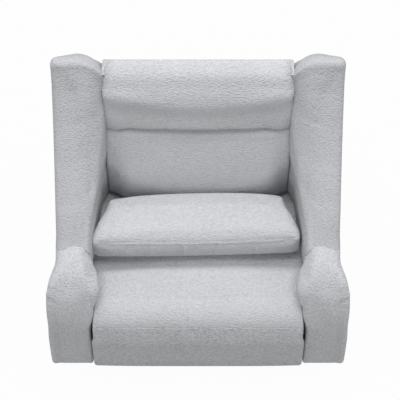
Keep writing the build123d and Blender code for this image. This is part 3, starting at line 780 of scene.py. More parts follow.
class Pad:
    """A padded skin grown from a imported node."""

    FRAMES = 20
    CLOTH = {
        "quality": 4,
        "mass": 0.3,
        "tension_stiffness": 15,
        "compression_stiffness": 15,
        "shear_stiffness": 5,
        "bending_stiffness": 0.5,
        "use_pressure": True,
    }
    SMOOTH_AND_SWELL = (0.5, -0.52)

    def __init__(self, name: str, node: str, mesh: Mesh) -> None:
        """Keep a mesh to be shaped.

        Args:
            name: Name of the new piece.
            node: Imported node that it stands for.
            mesh: Skin to start from.
        """
        self.name = name
        self.node = node
        self.mesh = mesh

    @classmethod
    def grown(cls, name: str, node: str, voxel: float) -> "Pad":
        """Copy a node's mesh and rebuild it with even faces.

        Args:
            name: Name of the new piece.
            node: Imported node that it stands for.
            voxel: Face size in metres.

        Returns:
            New pad.
        """
        rough = linked(name + ".work", stored(name, welded(node)))
        remesh = rough.modifiers.new("even", "REMESH")
        remesh.mode = "VOXEL"
        remesh.voxel_size = voxel
        return cls(name, node, baked(rough))

    def inflate(self, stuffing: Stuffing, free: Share = Region()) -> "Pad":
        """Swell the skin like a stuffed cover, along its own normals.

        Args:
            stuffing: How hard it is filled.
            free: Gives each point's share of the movement, from 0 fixed to 1 free.

        Returns:
            This pad.
        """
        before, outward = points_of(self.mesh), normals_of(self.mesh)
        work = linked(self.name + ".work", self.mesh)
        cloth = work.modifiers.new("cover", "CLOTH")
        for key, setting in self.CLOTH.items():
            setattr(cloth.settings, key, setting)
        cloth.settings.uniform_pressure_force = stuffing.pressure
        cloth.settings.effector_weights.gravity = 0
        cloth.point_cache.frame_start = 1
        cloth.point_cache.frame_end = self.FRAMES
        scene = bpy.context.scene
        for step in range(1, self.FRAMES + 1):
            scene.frame_set(step)
        swollen = points_of(work.evaluated_get(bpy.context.evaluated_depsgraph_get()).data)
        bpy.data.objects.remove(work)
        scene.frame_set(1)
        move = np.clip(((swollen - before) * outward).sum(1), -stuffing.draw, stuffing.swell)
        set_points(self.mesh, before + outward * (move * free(before))[:, None])
        return self

    def relax(self, rounds: int, free: Share = Region()) -> "Pad":
        """Soften edges without losing size.

        Args:
            rounds: Pairs of smoothing and swelling steps.
            free: Gives each point's share of the movement, from 0 fixed to 1 free.

        Returns:
            This pad.
        """
        ends = np.zeros(len(self.mesh.edges) * 2, np.int32)
        self.mesh.edges.foreach_get("vertices", ends)
        a, b = ends.reshape(-1, 2).T
        points = points_of(self.mesh)
        loose = free(points)[:, None]
        count = np.maximum(np.bincount(ends, minlength=len(points)), 1)[:, None]
        for share in self.SMOOTH_AND_SWELL * rounds:
            total = np.empty_like(points)
            for axis in range(3):
                total[:, axis] = np.bincount(a, points[b, axis], len(points))
                total[:, axis] += np.bincount(b, points[a, axis], len(points))
            points = points + share * loose * (total / count - points)
        set_points(self.mesh, points)
        return self

    def shape(self, change: Callable[[Points], Points]) -> "Pad":
        """Give every point the place that a rule says."""
        set_points(self.mesh, change(points_of(self.mesh)))
        return self

    def move(self, *moves: Move) -> "Pad":
        """Shift some regions at once."""
        return self.shape(lambda points: moved(points, moves))

    def sew(self, lines: Sequence[Polyline], groove: Groove) -> "Pad":
        """Pull the skin in along seams.

        Args:
            lines: Corners of each seam's line.
            groove: What the seams pull in.

        Returns:
            This pad.
        """
        points = points_of(self.mesh)
        pull = groove.depth * np.exp(-((distance_to(points, lines) / groove.width) ** 2))
        set_points(self.mesh, points - normals_of(self.mesh) * pull[:, None])
        return self

    def front_line(self, places: Iterable[tuple[float, float]], reach: float = 10 * MM) -> Polyline:
        """Line on the skin as it is seen from the front.

        Args:
            places: The line's x and z values.
            reach: How far a point may lie from them.

        Returns:
            Corners of the line, on the skin.
        """
        points = points_of(self.mesh)
        line = []
        for x, z in places:
            near = np.abs(points[:, [0, 2]] - (x, z)).max(1) < reach
            if near.any():
                line.append((x, float(points[near, 1].min()), z))
        return line

    def creases(self, angle: float, wanted: Callable[[Vector], bool]) -> list[Polyline]:
        """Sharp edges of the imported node, where covers are sewn together.

        Args:
            angle: Smallest fold, in degrees.
            wanted: Says from an edge's middle whether it counts.

        Returns:
            Short lines, one for each edge.
        """
        work = welded(self.node)
        found = []
        for edge in work.edges:
            a, b = (vert.co for vert in edge.verts)
            folded = len(edge.link_faces) == 2 and edge.calc_face_angle() > math.radians(angle)
            if folded and wanted((a + b) / 2):
                found.append([tuple(a), tuple(b)])
        work.free()
        return found

    def laid(self, lines: Iterable[Polyline], lift: float = 0.0) -> list[Polyline]:
        """Lay lines onto the skin.

        Args:
            lines: Polylines near the skin.
            lift: Distance above the skin.

        Returns:
            The same lines with each corner moved to the nearest place on the skin.
        """
        faces = [list(face.vertices) for face in self.mesh.polygons]
        tree = BVHTree.FromPolygons(points_of(self.mesh).tolist(), faces)
        found = []
        for line in lines:
            spots = [tree.find_nearest(Vector(corner)) for corner in line]
            found.append([tuple(place + normal * lift) for place, normal, *_ in spots])
        return found

    def fine(self) -> "Pad":
        """Divide each face once, smoothly.

        Returns:
            This pad.
        """
        work = linked(self.name + ".work", self.mesh)
        finer = work.modifiers.new("fine", "SUBSURF")
        finer.levels = finer.render_levels = 1
        self.mesh = baked(work)
        return self

    def mirrored(self, name: str, node: str) -> "Pad":
        """The same skin on the other side of the chair.

        Args:
            name: Name of the new piece.
            node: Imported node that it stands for.

        Returns:
            New pad.
        """
        other = Pad(name, node, self.mesh.copy())
        set_points(other.mesh, points_of(self.mesh) * np.array([-1.0, 1.0, 1.0]))
        other.mesh.flip_normals()
        return other

    def finish(self, body: str, material: Material, fill: float) -> None:
        """Make the shown piece.

        Args:
            body: Body that it rides on.
            material: Cover.
            fill: How tightly it is stuffed, from 0 to 1; not used.
        """
        self.mesh.materials.clear()
        self.mesh.materials.append(material)
        add_piece(self.name, self.mesh, body, "upholstery", self.node)


# Repeated small pieces
class Bead(Enum):
    """Shape that is repeated along a line."""

    THREAD = "GeometryNodeMeshIcoSphere"
    WIRE = "GeometryNodeMeshCylinder"

    @property
    def sockets(self) -> dict[str, float]:
        """Sockets that make the shape one unit long."""
        if self is Bead.THREAD:
            return {"Radius": 0.5, "Subdivisions": 2}
        return {"Vertices": 8, "Radius": 0.5, "Depth": 1.0}


@dataclass(frozen=True)
class Repeat:
    """How a small shape is repeated: its spacing and its size in three directions, in metres."""

    bead: Bead
    spacing: float
    along: float
    across: float
    up: float


STITCH = Repeat(Bead.THREAD, 5.2 * MM, 3.8 * MM, 1.1 * MM, 1.1 * MM)
STAPLE = Repeat(Bead.WIRE, 26 * MM, 10 * MM, 1.2 * MM, 0.9 * MM)
STITCH_LIFT = 0.2 * MM


class Along:
    """Geometry Nodes tree that sets one small shape along lines."""

    MEASURES = ("Spacing", "Along", "Across", "Up")
    JOIN = 0.2 * MM

    def __init__(self, name: str, repeat: Repeat) -> None:
        """Build the tree.

        Args:
            name: Name of the piece.
            repeat: What is repeated and how.
        """
        self.name = name
        self.repeat = repeat
        self.tree = bpy.data.node_groups.new(name, "GeometryNodeTree")
        face = self.tree.interface
        face.new_socket("Lines", in_out="INPUT", socket_type="NodeSocketGeometry")
        for label in self.MEASURES:
            face.new_socket(label, in_out="INPUT", socket_type="NodeSocketFloat")
        face.new_socket("Finish", in_out="INPUT", socket_type="NodeSocketMaterial")
        face.new_socket("Pieces", in_out="OUTPUT", socket_type="NodeSocketGeometry")
        self._wire()

    def _wire(self) -> None:
        """Fill the tree."""
        kit = NodeKit(self.tree)
        given = kit.node("NodeGroupInput").outputs
        curve = kit.out("GeometryNodeMeshToCurve", {}, {"Mesh": given["Lines"]})
        lengths = {"Curve": curve, "Length": given["Spacing"]}
        even = kit.out("GeometryNodeResampleCurve", {"mode": "LENGTH"}, lengths)
        heading = {"Vector": kit.out("GeometryNodeInputTangent")}
        sizes = {0: given["Across"], 1: given["Up"], 2: given["Along"]}
        spread = kit.out(
            "GeometryNodeInstanceOnPoints",
            {},
            {
                "Points": even,
                "Instance": kit.out(self.repeat.bead.value, {}, self.repeat.bead.sockets),
                "Rotation": kit.out("FunctionNodeAlignRotationToVector", {"axis": "Z"}, heading),
                "Scale": kit.out("ShaderNodeCombineXYZ", {}, sizes),
            },
        )
        real = kit.out("GeometryNodeRealizeInstances", {}, {0: spread})
        dress = {"Geometry": real, "Material": given["Finish"]}
        dressed = kit.out("GeometryNodeSetMaterial", {}, dress)
        kit.node("NodeGroupOutput", {}, {"Pieces": dressed})

    def lay(self, lines: Sequence[Polyline], material: Material, body: str, slot: str) -> None:
        """Run the tree over lines and show the result.

        Args:
            lines: Polylines that the shapes follow.
            material: Finish.
            body: Body that the piece rides on.
            slot: Material slot of the record.
        """
        work = bmesh.new()
        for line in lines:
            row = [work.verts.new(corner) for corner in line]
            for a, b in zip(row, row[1:]):
                work.edges.new((a, b))
        bmesh.ops.remove_doubles(work, verts=work.verts, dist=self.JOIN)
        carrier = linked(self.name + ".lines", stored(self.name + ".lines", work))
        modifier = carrier.modifiers.new("along", "NODES")
        modifier.node_group = self.tree
        values = {label: getattr(self.repeat, label.lower()) for label in self.MEASURES}
        values["Finish"] = material
        for item in self.tree.interface.items_tree:
            if item.in_out == "INPUT" and item.name in values:
                modifier[item.identifier] = values[item.name]
        add_piece(self.name, baked(carrier), body, slot)


# Sub-assemblies
@dataclass
class Assembly:
    """Sub-assembly of the chair, dressed from the shared finishes."""

    finishes: Finishes

    def build(self) -> None:
        """Make and dress the pieces."""
        raise NotImplementedError


@dataclass
class Seat(Assembly):
    """Seat cushion with its rolled front."""

    voxel: float = 8 * MM
    fill: float = 0.8
    stuffing: Stuffing = Stuffing(4.0, 12 * MM, 1 * MM)
    soft_edge: Region = Region(y=(-0.30, -0.24), wide=(0.25, 0.29))
    roll_low: float = -20 * MM
    roll_skin: float = 0.9
    side_z: float = 0.385
    side_room: float = 9 * MM
    side: Region = Region(z=(0.362, 0.374), wide=(0.24, 0.296))
    tuck: float = 10 * MM
    tuck_z: tuple[float, float] = (0.36, 0.436)
    tuck_at: Region = Region(y=(-0.15, -0.20))
    dent_z: float = 8 * MM
    dent_w: float = 14 * MM
    dent_skew: float = 0.023
    dent_at: Region = Region(z=(0.40, 0.43))

    def __post_init__(self) -> None:
        """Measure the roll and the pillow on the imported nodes."""
        self.roll_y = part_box("seat_cushion")[0].y + NOSE_R
        self.pillow_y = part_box("lumbar_pillow")[0].y

    def build(self) -> None:
        """Make the seat cushion, which swells only on top and less towards the roll."""
        top = Region(
            y=(self.roll_y - 0.02, self.roll_y + 0.08, self.pillow_y - 0.04, self.pillow_y),
            z=(self.side_z - 0.03, self.side_z),
        )
        pad = Pad.grown("seat_upholstery", "seat_cushion", self.voxel)
        pad.inflate(self.stuffing, top).relax(4).relax(24, self.soft_edge).fine()
        pad.shape(self.fit_roll).shape(self.reach_arms).shape(self.dent)
        pad.finish("carriage", self.finishes.cover_across, self.fill)

    def dent(self, points: Points) -> Points:
        """Dent under the front edge of the pillow.

        Args:
            points: Rows of places.

        Returns:
            New places.
        """
        out = points.copy()
        away = points[:, 1] - self.pillow_y - self.dent_skew * points[:, 0]
        depth = np.where(away < 0, np.exp(-((away / self.dent_w) ** 2)), 1)
        out[:, 2] -= self.dent_z * depth * self.dent_at(points)
        return out

    def reach_arms(self, points: Points) -> Points:
        """Let the upper part of the sides lie against the arms, above the linkage.

        Args:
            points: Rows of places.

        Returns:
            New places.
        """
        out = points.copy()
        low, high = self.tuck_z
        tuck = np.clip((points[:, 2] - low) / (high - low), 0, 1) * self.tuck_at(points)
        room = (self.side_room - self.tuck * tuck) * self.side(points)
        out[:, 0] += np.sign(points[:, 0]) * room
        return out

    def fit_roll(self, points: Points) -> Points:
        """Keep the front a true roll, so that the footrest pad can turn round it.

        Args:
            points: Rows of places.

        Returns:
            New places.
        """
        y, z = points[:, 1] - self.roll_y, points[:, 2] - NOSE_Z
        radius = np.hypot(y, z)
        skin = (y < 0) & (z > self.roll_low) & (radius > NOSE_R * self.roll_skin)
        share = np.where(skin, NOSE_R / np.maximum(radius, TINY), 1)
        out = points.copy()
        out[:, 1] = self.roll_y + y * share
        out[:, 2] = NOSE_Z + z * share
        return out


@dataclass
class Footrest(Assembly):
    """Padded front panel that swings up, lapped over the seat's roll."""

    fill: float = 0.7
    lip: float = 0.25 * MM
    lap: float = math.radians(20)
    lap_from: float = math.radians(-43)
    bulge: float = 12 * MM
    bulge_low: float = 70 * MM
    foot_r: float = 16 * MM
    foot_steps: int = 6
    rear_low: float = 2 * MM
    rear_drop: float = 20 * MM
    end_r: float = 9 * MM
    end_curve: float = 3 * MM
    ease: float = 60 * MM
    half_top: float = 306.5 * MM
    half_foot: float = 312.5 * MM
    narrow_z: tuple[float, float] = (0.28, 0.32)
    steps: int = 26
    sections: int = 60

    def __post_init__(self) -> None:
        """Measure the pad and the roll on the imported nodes."""
        self.low, self.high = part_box("footrest_pad")
        self.roll_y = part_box("seat_cushion")[0].y + NOSE_R
        self.reach = NOSE_R + self.lip
        self.top = NOSE_Z + self.reach * math.sin(self.lap)

    def build(self) -> None:
        """Make the footrest pad from sections, closer together at the ends."""
        shares = np.sin(np.linspace(-math.pi / 2, math.pi / 2, self.sections + 1))
        work = bmesh.new()
        rings = [[work.verts.new(spot) for spot in self.ring(share)] for share in shares]
        for ring, following in zip(rings, rings[1:]):
            for a in range(len(ring)):
                b = (a + 1) % len(ring)
                work.faces.new((ring[a], ring[b], following[b], following[a]))
        caps = [work.faces.new(rings[0]), work.faces.new(rings[-1])]
        bmesh.ops.triangulate(work, faces=caps)
        bmesh.ops.recalc_face_normals(work, faces=work.faces)
        pad = Pad("footrest_upholstery", "footrest_pad", stored("footrest_upholstery", work))
        # The footrest wears the copy with painted relief shade.
        pad.finish("footrest", self.finishes.cover_front_painted_shade, self.fill)

    def ring(self, share: float) -> list[Place]:
        """One section of the panel.

        Args:
            share: Place across, from -1 to 1.

        Returns:
            Corners of the section.
        """
        near = min(max(0.0, 1 - (1 - abs(share)) * self.half_foot / self.end_r), 1.0)
        inset = self.end_r * (1 - math.sqrt(1 - near**2)) + self.end_curve * share**4
        y, z = np.array(self.profile(inset)).T
        half = self.half_foot + (self.half_top - self.half_foot) * smoothstep(*self.narrow_z, z)
        return list(zip(share * half, y, z))

    def profile(self, inset: float) -> list[tuple[float, float]]:
        """Outline of a section: front, foot, rear and the hollow that fits the roll.

        Args:
            inset: How far the front stands back, in metres.

        Returns:
            y and z of each corner.
        """
        foot = self.low.z + self.foot_r
        heights = np.linspace(self.top, foot, self.steps * 2)
        inset_at = inset * smoothstep(0.0, self.ease, self.top - heights)
        spots = list(zip(self.front_at(heights) + inset_at, heights))
        front = spots[-1][0]
        for turn in np.linspace(0, math.pi / 2, self.foot_steps + 1)[1:]:
            back, down = self.foot_r * (1 - math.cos(turn)), self.foot_r * math.sin(turn)
            spots.append((front + back, foot - down))
        spots.append((self.high.y, self.low.z + self.rear_low))
        low_turn = -math.acos((self.roll_y - self.high.y) / self.reach)
        hollow = NOSE_Z + self.reach * math.sin(low_turn)
        spots.append((self.high.y, hollow - self.rear_drop))
        for turn in np.linspace(low_turn, self.lap, self.steps)[:-1]:
            out, up = self.reach * math.cos(turn), self.reach * math.sin(turn)
            spots.append((self.roll_y - out, NOSE_Z + up))
        return spots

    def front_at(self, z: Points) -> Points:
        """Place of the front face at some heights, running tangent out of the roll.

        Args:
            z: Heights.

        Returns:
            y of the front face.
        """
        base = NOSE_Z + self.reach * math.sin(self.lap_from)
        full = self.low.y - self.bulge
        step = self.roll_y - self.reach * math.cos(self.lap) - full
        power = math.tan(self.lap) * (self.top - base) / step
        rise = np.clip((z - base) / (self.top - base), 0, 1) ** power
        tucked = smoothstep(self.low.z + self.bulge_low, self.low.z, z)
        return full + step * rise + 0.5 * self.bulge * tucked


@dataclass
class Arms(Assembly):
    """Pair of flared arms."""

    voxel: float = 8 * MM
    fill: float = 0.8
    stuffing: Stuffing = Stuffing(3.0, 5 * MM, 2 * MM)
    soft: Region = Region(z=(0.20, 0.36))
    foot_at: Region = Region(z=(0.42, 0.26))
    inner_x: float = 0.315
    corner_power: int = 5
    crest: Move = Move(Axis.Z, 3 * MM, Region(y=(0.1, 0.0), z=(0.46, 0.56)))
    foot: Move = Move(Axis.X, 4 * MM, Region(x=(0.39, 0.43), z=(0.42, 0.16)))
    taper: Move = Move(
        Axis.X, -9 * MM, Region((0.375, 0.318), (-0.15, -0.20), (0.325, 0.43, 0.435, 0.485))
    )
    roll: Move = Move(
        Axis.X, -5 * MM, Region((0.375, 0.318), (-0.15, -0.20), (0.44, 0.49, 0.53, 0.575))
    )
    seam: Groove = Groove(5 * MM, 3.2 * MM)
    seam_steps: int = 13
    seam_x: tuple[float, float] = (0.417, 0.411)
    seam_z: tuple[float, float] = (0.105, 0.490)
    fold: Groove = Groove(5 * MM, 2.4 * MM)
    fold_gap: float = 11 * MM
    fold_run: tuple[Place, ...] = ((-4 * MM, 0.0, 0.0), (20 * MM, 12 * MM, -4 * MM))
    stitch_gap: float = 7 * MM

    def build(self) -> None:
        """Make both arms."""
        right = Pad.grown("right_arm_upholstery", "right_arm", self.voxel)
        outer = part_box("right_arm")[1].x
        right.inflate(self.stuffing, Region(x=(outer, outer - 0.03), z=(0.2, 0.42)))
        right.relax(170, self.soft).relax(1).fine()
        right.shape(self.square_foot).move(self.crest).move(self.foot, self.taper, self.roll)
        run = (np.linspace(*ends, self.seam_steps) for ends in (self.seam_x, self.seam_z))
        seam = right.front_line(zip(*run))
        right.sew([seam], self.seam)
        x, y, z = seam[-1]
        for height in (z, z + self.fold_gap):
            fold = [(x + out, y + back, height + up) for out, back, up in self.fold_run]
            right.sew([fold], self.fold)
        left = right.mirrored("left_arm_upholstery", "left_arm")
        rows = []
        for side, pad in ((Side.RIGHT, right), (Side.LEFT, left)):
            for gap in (-self.stitch_gap, self.stitch_gap):
                row = [(side.value * (x + gap), y, z) for x, y, z in seam]
                rows += pad.laid([row], STITCH_LIFT)
            # The arms wear the copy with painted relief shade.
            pad.finish("carriage", self.finishes.cover_upright_painted_shade, self.fill)
        Along("arm_stitches", STITCH).lay(rows, self.finishes.thread, "carriage", "upholstery")

    def square_foot(self, points: Points) -> Points:
        """Tighten the lower front corners of the arm.

        Args:
            points: Rows of places.

        Returns:
            New places.
        """
        low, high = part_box("right_arm")
        out = points.copy()
        for sign, edge, r in ((1, high.x, 30 * MM), (-1, self.inner_x, 24 * MM)):
            u = sign * (points[:, 0] - edge) / r + 1
            v = (low.y - points[:, 1]) / r + 1
            far = np.maximum(np.hypot(u, v), TINY)
            size = np.abs(u / far) ** self.corner_power + np.abs(v / far) ** self.corner_power
            grow = np.where((u > 0) & (v > 0), size ** (-1 / self.corner_power) - 1, 0)
            grow *= r * self.foot_at(points)
            out[:, 0] += sign * u * grow
            out[:, 1] -= v * grow
        return out


@dataclass
class Wings(Assembly):
    """Pair of wings that sweep down to the arms."""

    voxel: float = 7 * MM
    fill: float = 0.75
    stuffing: Stuffing = Stuffing(3.0, 5 * MM, 2 * MM)
    soft: Region = Region(z=(0.56, 0.64))
    sink: Move = Move(Axis.Z, -12 * MM, Region((0.312, 0.33), (0.10, 0.0), (0.66, 0.59)))
    inner_x: float = 0.262
    corner_x: float = 0.340
    corner_at: Region = Region(z=(0.88, 1.0))
    corner_in: float = 40.96 * MM
    corner_drop: float = 14.46 * MM
    cap_in: float = 6 * MM
    cap_at: Region = Region(z=(0.98, 1.02))
    rear: Region = Region(y=(0.16, 0.205))

    def build(self) -> None:
        """Make both wings, whose feet sink into the arms' soft tops."""
        right = Pad.grown("right_wing_upholstery", "right_wing", self.voxel)
        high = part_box("right_wing")[1]
        right.inflate(self.stuffing, Region(x=(high.x, high.x - 0.03), z=(0.60, 0.68)))
        right.relax(30, self.soft).relax(1)
        right.relax(30, Region(z=(high.z - 0.08, high.z - 0.02))).fine()
        right.move(self.sink).shape(self.round_top)
        left = right.mirrored("left_wing_upholstery", "left_wing")
        for pad in (right, left):
            # The wings wear the darker copy, painted shade.
            pad.finish("back", self.finishes.cover_wing_painted_shade, self.fill)

    def round_top(self, points: Points) -> Points:
        """Round the inner corner of the top, where the wing meets the headrest.

        Args:
            points: Rows of places.

        Returns:
            New places.
        """
        out = points.copy()
        turn = (self.corner_x - points[:, 0]) / (self.corner_x - self.inner_x)
        share = quarter(turn) * self.corner_at(points)
        inwards = self.corner_in * share + self.cap_in * self.cap_at(points)
        out[:, 1] -= inwards * self.rear(points)
        out[:, 2] -= self.corner_drop * share
        return out


@dataclass
class Back(Assembly):
    """Two inner back cushions, the webbing behind them and the outer back."""

    voxel: float = 7 * MM
    fill: float = 0.75
    stuffing: Stuffing = Stuffing(4.0, 8 * MM, 1 * MM)
    side_room: float = 2 * MM
    slack: float = 6 * MM
    strap_grid: tuple[int, int] = (40, 5)
    lumbar: Move = Move(
        Axis.Y, -18 * MM, Region(y=(0.15, 0.09), z=(0.74, 0.55), wide=(0.264, 0.19))
    )
    front: Region = Region(y=(0.20, 0.16), z=(0.785, 0.83))
    bend: Move = Move(Axis.Y, 6 * MM, Region(y=(0.19, 0.15), z=(0.775, 0.85, 0.85, 1.0)))
    chin: Move = Move(Axis.Y, -7 * MM, Region(y=(0.19, 0.15), z=(0.88, 0.77)))
    chin_ends: Move = Move(
        Axis.Y, -10 * MM, Region(y=(0.20, 0.15), z=(0.93, 0.80), wide=(0.19, 0.25))
    )
    corner_x: float = 0.228
    corner_r: float = 37 * MM
    corner_drop: float = 30 * MM
    corner_at: Region = Region(z=(0.90, 0.96))
    corner_rear: Region = Region(y=(0.17, 0.21, 0.22, 0.25))
    wrap: Move = Move(Axis.Y, -34 * MM, Region(y=(0.246, 0.224), z=(0.925, 0.945)))
    panel_fill: float = 0.4
    panel_r: float = 34 * MM
    panel_at: Region = Region(z=(0.86, 0.935))
    panel_top: float = 0.963
    panel_lean: float = 0.55
    panel_out: float = 3.5 * MM
    panel_ends: Region = Region(z=(0.89, 0.93), wide=(0.245, 0.26))

    def build(self) -> None:
        """Make the lower cushion, the headrest, the outer back and the webbing."""
        lower = self.cushion("lower_back_upholstery", "lower_back_cushion")
        lower.shape(self.fill_width).fine().move(self.lumbar)
        lower.finish("back", self.finishes.cover_across, self.fill)
        head = self.cushion("headrest_upholstery", "headrest_cushion")
        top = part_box("headrest_cushion")[1].z
        head.relax(60, Region(z=(top - 0.07, top - 0.03))).relax(420, self.front)
        head.shape(self.fill_width).fine().move(self.bend, self.chin, self.chin_ends)
        head.shape(self.round_corners).finish("back", self.finishes.cover_across, self.fill)
        panel = Pad.grown("outer_back_upholstery", "back_panel", self.voxel)
        panel.relax(3).shape(self.wrap_top)
        panel.finish("back", self.finishes.cover_across, self.panel_fill)
        self.webbing()

    def cushion(self, name: str, node: str) -> Pad:
        """Fill a cushion and soften all but its lower edge.

        Args:
            name: Name of the piece.
            node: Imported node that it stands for.

        Returns:
            The cushion.
        """
        low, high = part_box(node)
        pad = Pad.grown(name, node, self.voxel)
        inside = Region(y=(high.y, high.y - 0.06), wide=(high.x, high.x - 0.05))
        pad.inflate(self.stuffing, inside)
        return pad.relax(40, Region(z=(low.z + 0.004, low.z + 0.04))).relax(2)

    def fill_width(self, points: Points) -> Points:
        """Widen a cushion until it presses against the wings."""
        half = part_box("lower_back_cushion")[1].x
        return points * np.array([1 + self.side_room / half, 1, 1])

    def wrap_top(self, points: Points) -> Points:
        """Wrap the outer back over the top of the frame and out to the ends of its posts.

        Args:
            points: Rows of places.

        Returns:
            New places.
        """
        out = moved(points, [self.wrap])
        z = points[:, 2]
        turn = (np.abs(points[:, 0]) - self.corner_x) / self.panel_r
        rise = self.panel_r * quarter(turn) * self.panel_at(points)
        out[:, 2] = np.maximum(z, np.minimum(z + rise, self.panel_top))
        out[:, 1] -= self.panel_lean * (out[:, 2] - z)
        out[:, 0] += np.sign(points[:, 0]) * self.panel_out * self.panel_ends(points)
        return out

    def round_corners(self, points: Points) -> Points:
        """Round the upper corners of the headrest.

        Args:
            points: Rows of places.

        Returns:
            New places.
        """
        out = points.copy()
        turn = (np.abs(points[:, 0]) - self.corner_x) / self.corner_r
        drop = self.corner_drop * quarter(turn, 0.98) * self.corner_at(points)
        out[:, 2] -= drop
        out[:, 1] -= drop * self.corner_rear(points)
        return out

    def hang(self, across: float, up: float) -> float:
        """How far a strap hangs back between the posts."""
        return self.slack * math.sin(math.pi * across) * (0.8 + 0.2 * math.cos(math.tau * up))

    def webbing(self) -> None:
        """Woven straps behind the cushions, slightly slack between the posts."""
        low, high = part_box("back_straps")
        corners = points_of(frame["nodes"]["back_straps"].data)
        heights = sorted({round(corner[2], 4) for corner in corners})
        middle = (low.y + high.y) / 2
        work = bmesh.new()
        for bottom, top in zip(heights[::2], heights[1::2]):
            add_grid(
                work,
                *self.strap_grid,
                lambda across, up: (
                    low.x + across * (high.x - low.x),
                    middle + self.hang(across, up),
                    bottom + up * (top - bottom),
                ),
            )
        mesh = stored("back_webbing", work)
        mesh.materials.append(self.finishes.by_slot["strap_webbing"])
        piece = add_piece("back_webbing", mesh, "back", "strap_webbing", "back_straps")
        thick = piece.modifiers.new("thickness", "SOLIDIFY")
        thick.thickness = high.y - low.y
        thick.offset = 0


@dataclass
class Pillow(Assembly):
    """Loose box-edged lumbar pillow, slumped a little to one side."""

    voxel: float = 6 * MM
    fill: float = 0.6
    stuffing: Stuffing = Stuffing(4.0, 9 * MM, 3 * MM)
    crease: float = 35.0
    seam_low: float = 12 * MM
    seam_back: float = 30 * MM
    seam: Groove = Groove(10 * MM, 4 * MM)
    welt: Groove = Groove(4.2 * MM, -3.4 * MM)
    stitch_gap: float = 6 * MM
    fold: Groove = Groove(5 * MM, 2.2 * MM)
    fold_lip: Groove = Groove(5 * MM, -1.6 * MM)
    fold_x: float = 8 * MM
    fold_rise: tuple[float, float, float] = (24 * MM, 60 * MM, 88 * MM)
    fold_lean: tuple[float, float, float] = (0.0, 1.0, 1.4)
    wrinkles: tuple[tuple[float, float], ...] = (
        (-0.146, 0.010), (-0.034, -0.006), (0.046, 0.008), (0.17, -0.01)
    )
    rear: Region = Region(y=(-0.14, 0.02))
    spread: float = 0.025
    pinch: float = 0.06
    aside: float = -6 * MM
    skew: float = 0.007 / 0.3
    rear_bow: float = 16 * MM
    bow_half: float = 0.29
    settle: tuple[Move, ...] = (
        Move(Axis.Y, 16 * MM, Region(y=(-0.04, 0.02), z=(0.43, 0.49, 0.53, 0.57))),
        Move(Axis.Z, 7 * MM, Region(y=(-0.12, -0.01), z=(0.49, 0.55))),
        Move(Axis.Z, 14 * MM, Region(y=(-0.04, -0.13), z=(0.47, 0.53))),
        Move(Axis.Z, 12 * MM, Region(y=(-0.10, -0.145), z=(0.475, 0.44))),
    )

    def build(self) -> None:
        """Make the pillow and the stitches on both sides of its seams."""
        low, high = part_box("lumbar_pillow")
        pad = Pad.grown("lumbar_pillow_upholstery", "lumbar_pillow", self.voxel)
        pad.inflate(self.stuffing).relax(6)
        pad.relax(30, Region(wide=(high.x - 0.07, high.x - 0.02))).fine()
        bottom, rear = low.z + self.seam_low, high.y - self.seam_back
        seams = pad.laid(pad.creases(self.crease, lambda at: at.z > bottom and at.y < rear))
        pad.sew(seams, self.seam).sew(seams, self.welt)
        self.pucker(pad, low.z)
        seams = [self.slump(np.array(line)).tolist() for line in pad.laid(seams)]
        pad.shape(self.slump).finish("pillow", self.finishes.cover_across, self.fill)
        rows = [
            [(x, y, z + gap) for x, y, z in line]
            for gap in (-self.stitch_gap, self.stitch_gap)
            for line in seams
        ]
        rows = pad.laid(rows, STITCH_LIFT)
        Along("pillow_stitches", STITCH).lay(rows, self.finishes.thread, "pillow", "upholstery")

    def pucker(self, pad: Pad, foot: float) -> None:
        """Small folds across the front border.

        Args:
            pad: Pillow's skin.
            foot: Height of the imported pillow's underside.
        """
        steps = list(zip(self.fold_lean, self.fold_rise))
        for x, lean in self.wrinkles:
            line = pad.front_line((x + share * lean, foot + rise) for share, rise in steps)
            if len(line) > 1:
                pad.sew([line], self.fold)
                pad.sew([[(x + self.fold_x, y, z) for x, y, z in line]], self.fold_lip)

    def slump(self, points: Points) -> Points:
        """Turn the pillow a little about the upright, and settle it on the seat and the back.

        Args:
            points: Rows of places.

        Returns:
            New places.
        """
        out = moved(points, self.settle)
        x, rear = points[:, 0], self.rear(points)
        out[:, 0] = x * (1 + self.spread - (self.spread + self.pinch) * rear) + self.aside
        out[:, 1] += self.skew * x - self.rear_bow * (np.abs(x) / self.bow_half) ** 4 * rear
        return out


@dataclass
class Underside(Assembly):
    """Black cloth stretched under the seat frame and stapled along both edges."""

    margin: float = 9 * MM
    sag: float = 0.4 * MM
    grid: tuple[int, int] = (48, 20)

    def build(self) -> None:
        """Make the cloth and its staples."""
        low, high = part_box("dust_cover")
        size = high - low

        def place(x: float, y: float) -> Place:
            """Corner of the cloth."""
            hang = self.sag * math.sin(math.pi * x) * math.sin(math.pi * y)
            return (low.x + x * size.x, low.y + y * size.y, high.z - hang)

        work = bmesh.new()
        add_grid(work, *self.grid, place)
        mesh = stored("underside_cloth", work)
        mesh.materials.append(self.finishes.by_slot["dust_cloth"])
        piece = add_piece("underside_cloth", mesh, "carriage", "dust_cloth", "dust_cover")
        ends = (low.x + self.margin, high.x - self.margin)
        edges = (low.y + self.margin, high.y - self.margin)
        rows = [[(x, y, low.z) for x in ends] for y in edges]
        zinc = self.finishes.by_slot["zinc_steel"]
        Along("underside_staples", STAPLE).lay(rows, zinc, "carriage", "zinc_steel")


@dataclass(frozen=True)
class Softbox:
    """Square area light."""

    name: str
    place: Place
    target: Place
    size: float
    power: float

    def build(self) -> None:
        """Add the light, turned to its target."""
        data = bpy.data.lights.new(self.name, "AREA")
        data.shape = "SQUARE"
        data.size = self.size
        data.energy = self.power
        lamp = linked(self.name, data)
        lamp.location = self.place
        aim = Vector(self.target) - Vector(self.place)
        lamp.rotation_euler = aim.to_track_quat("-Z", "Y").to_euler()


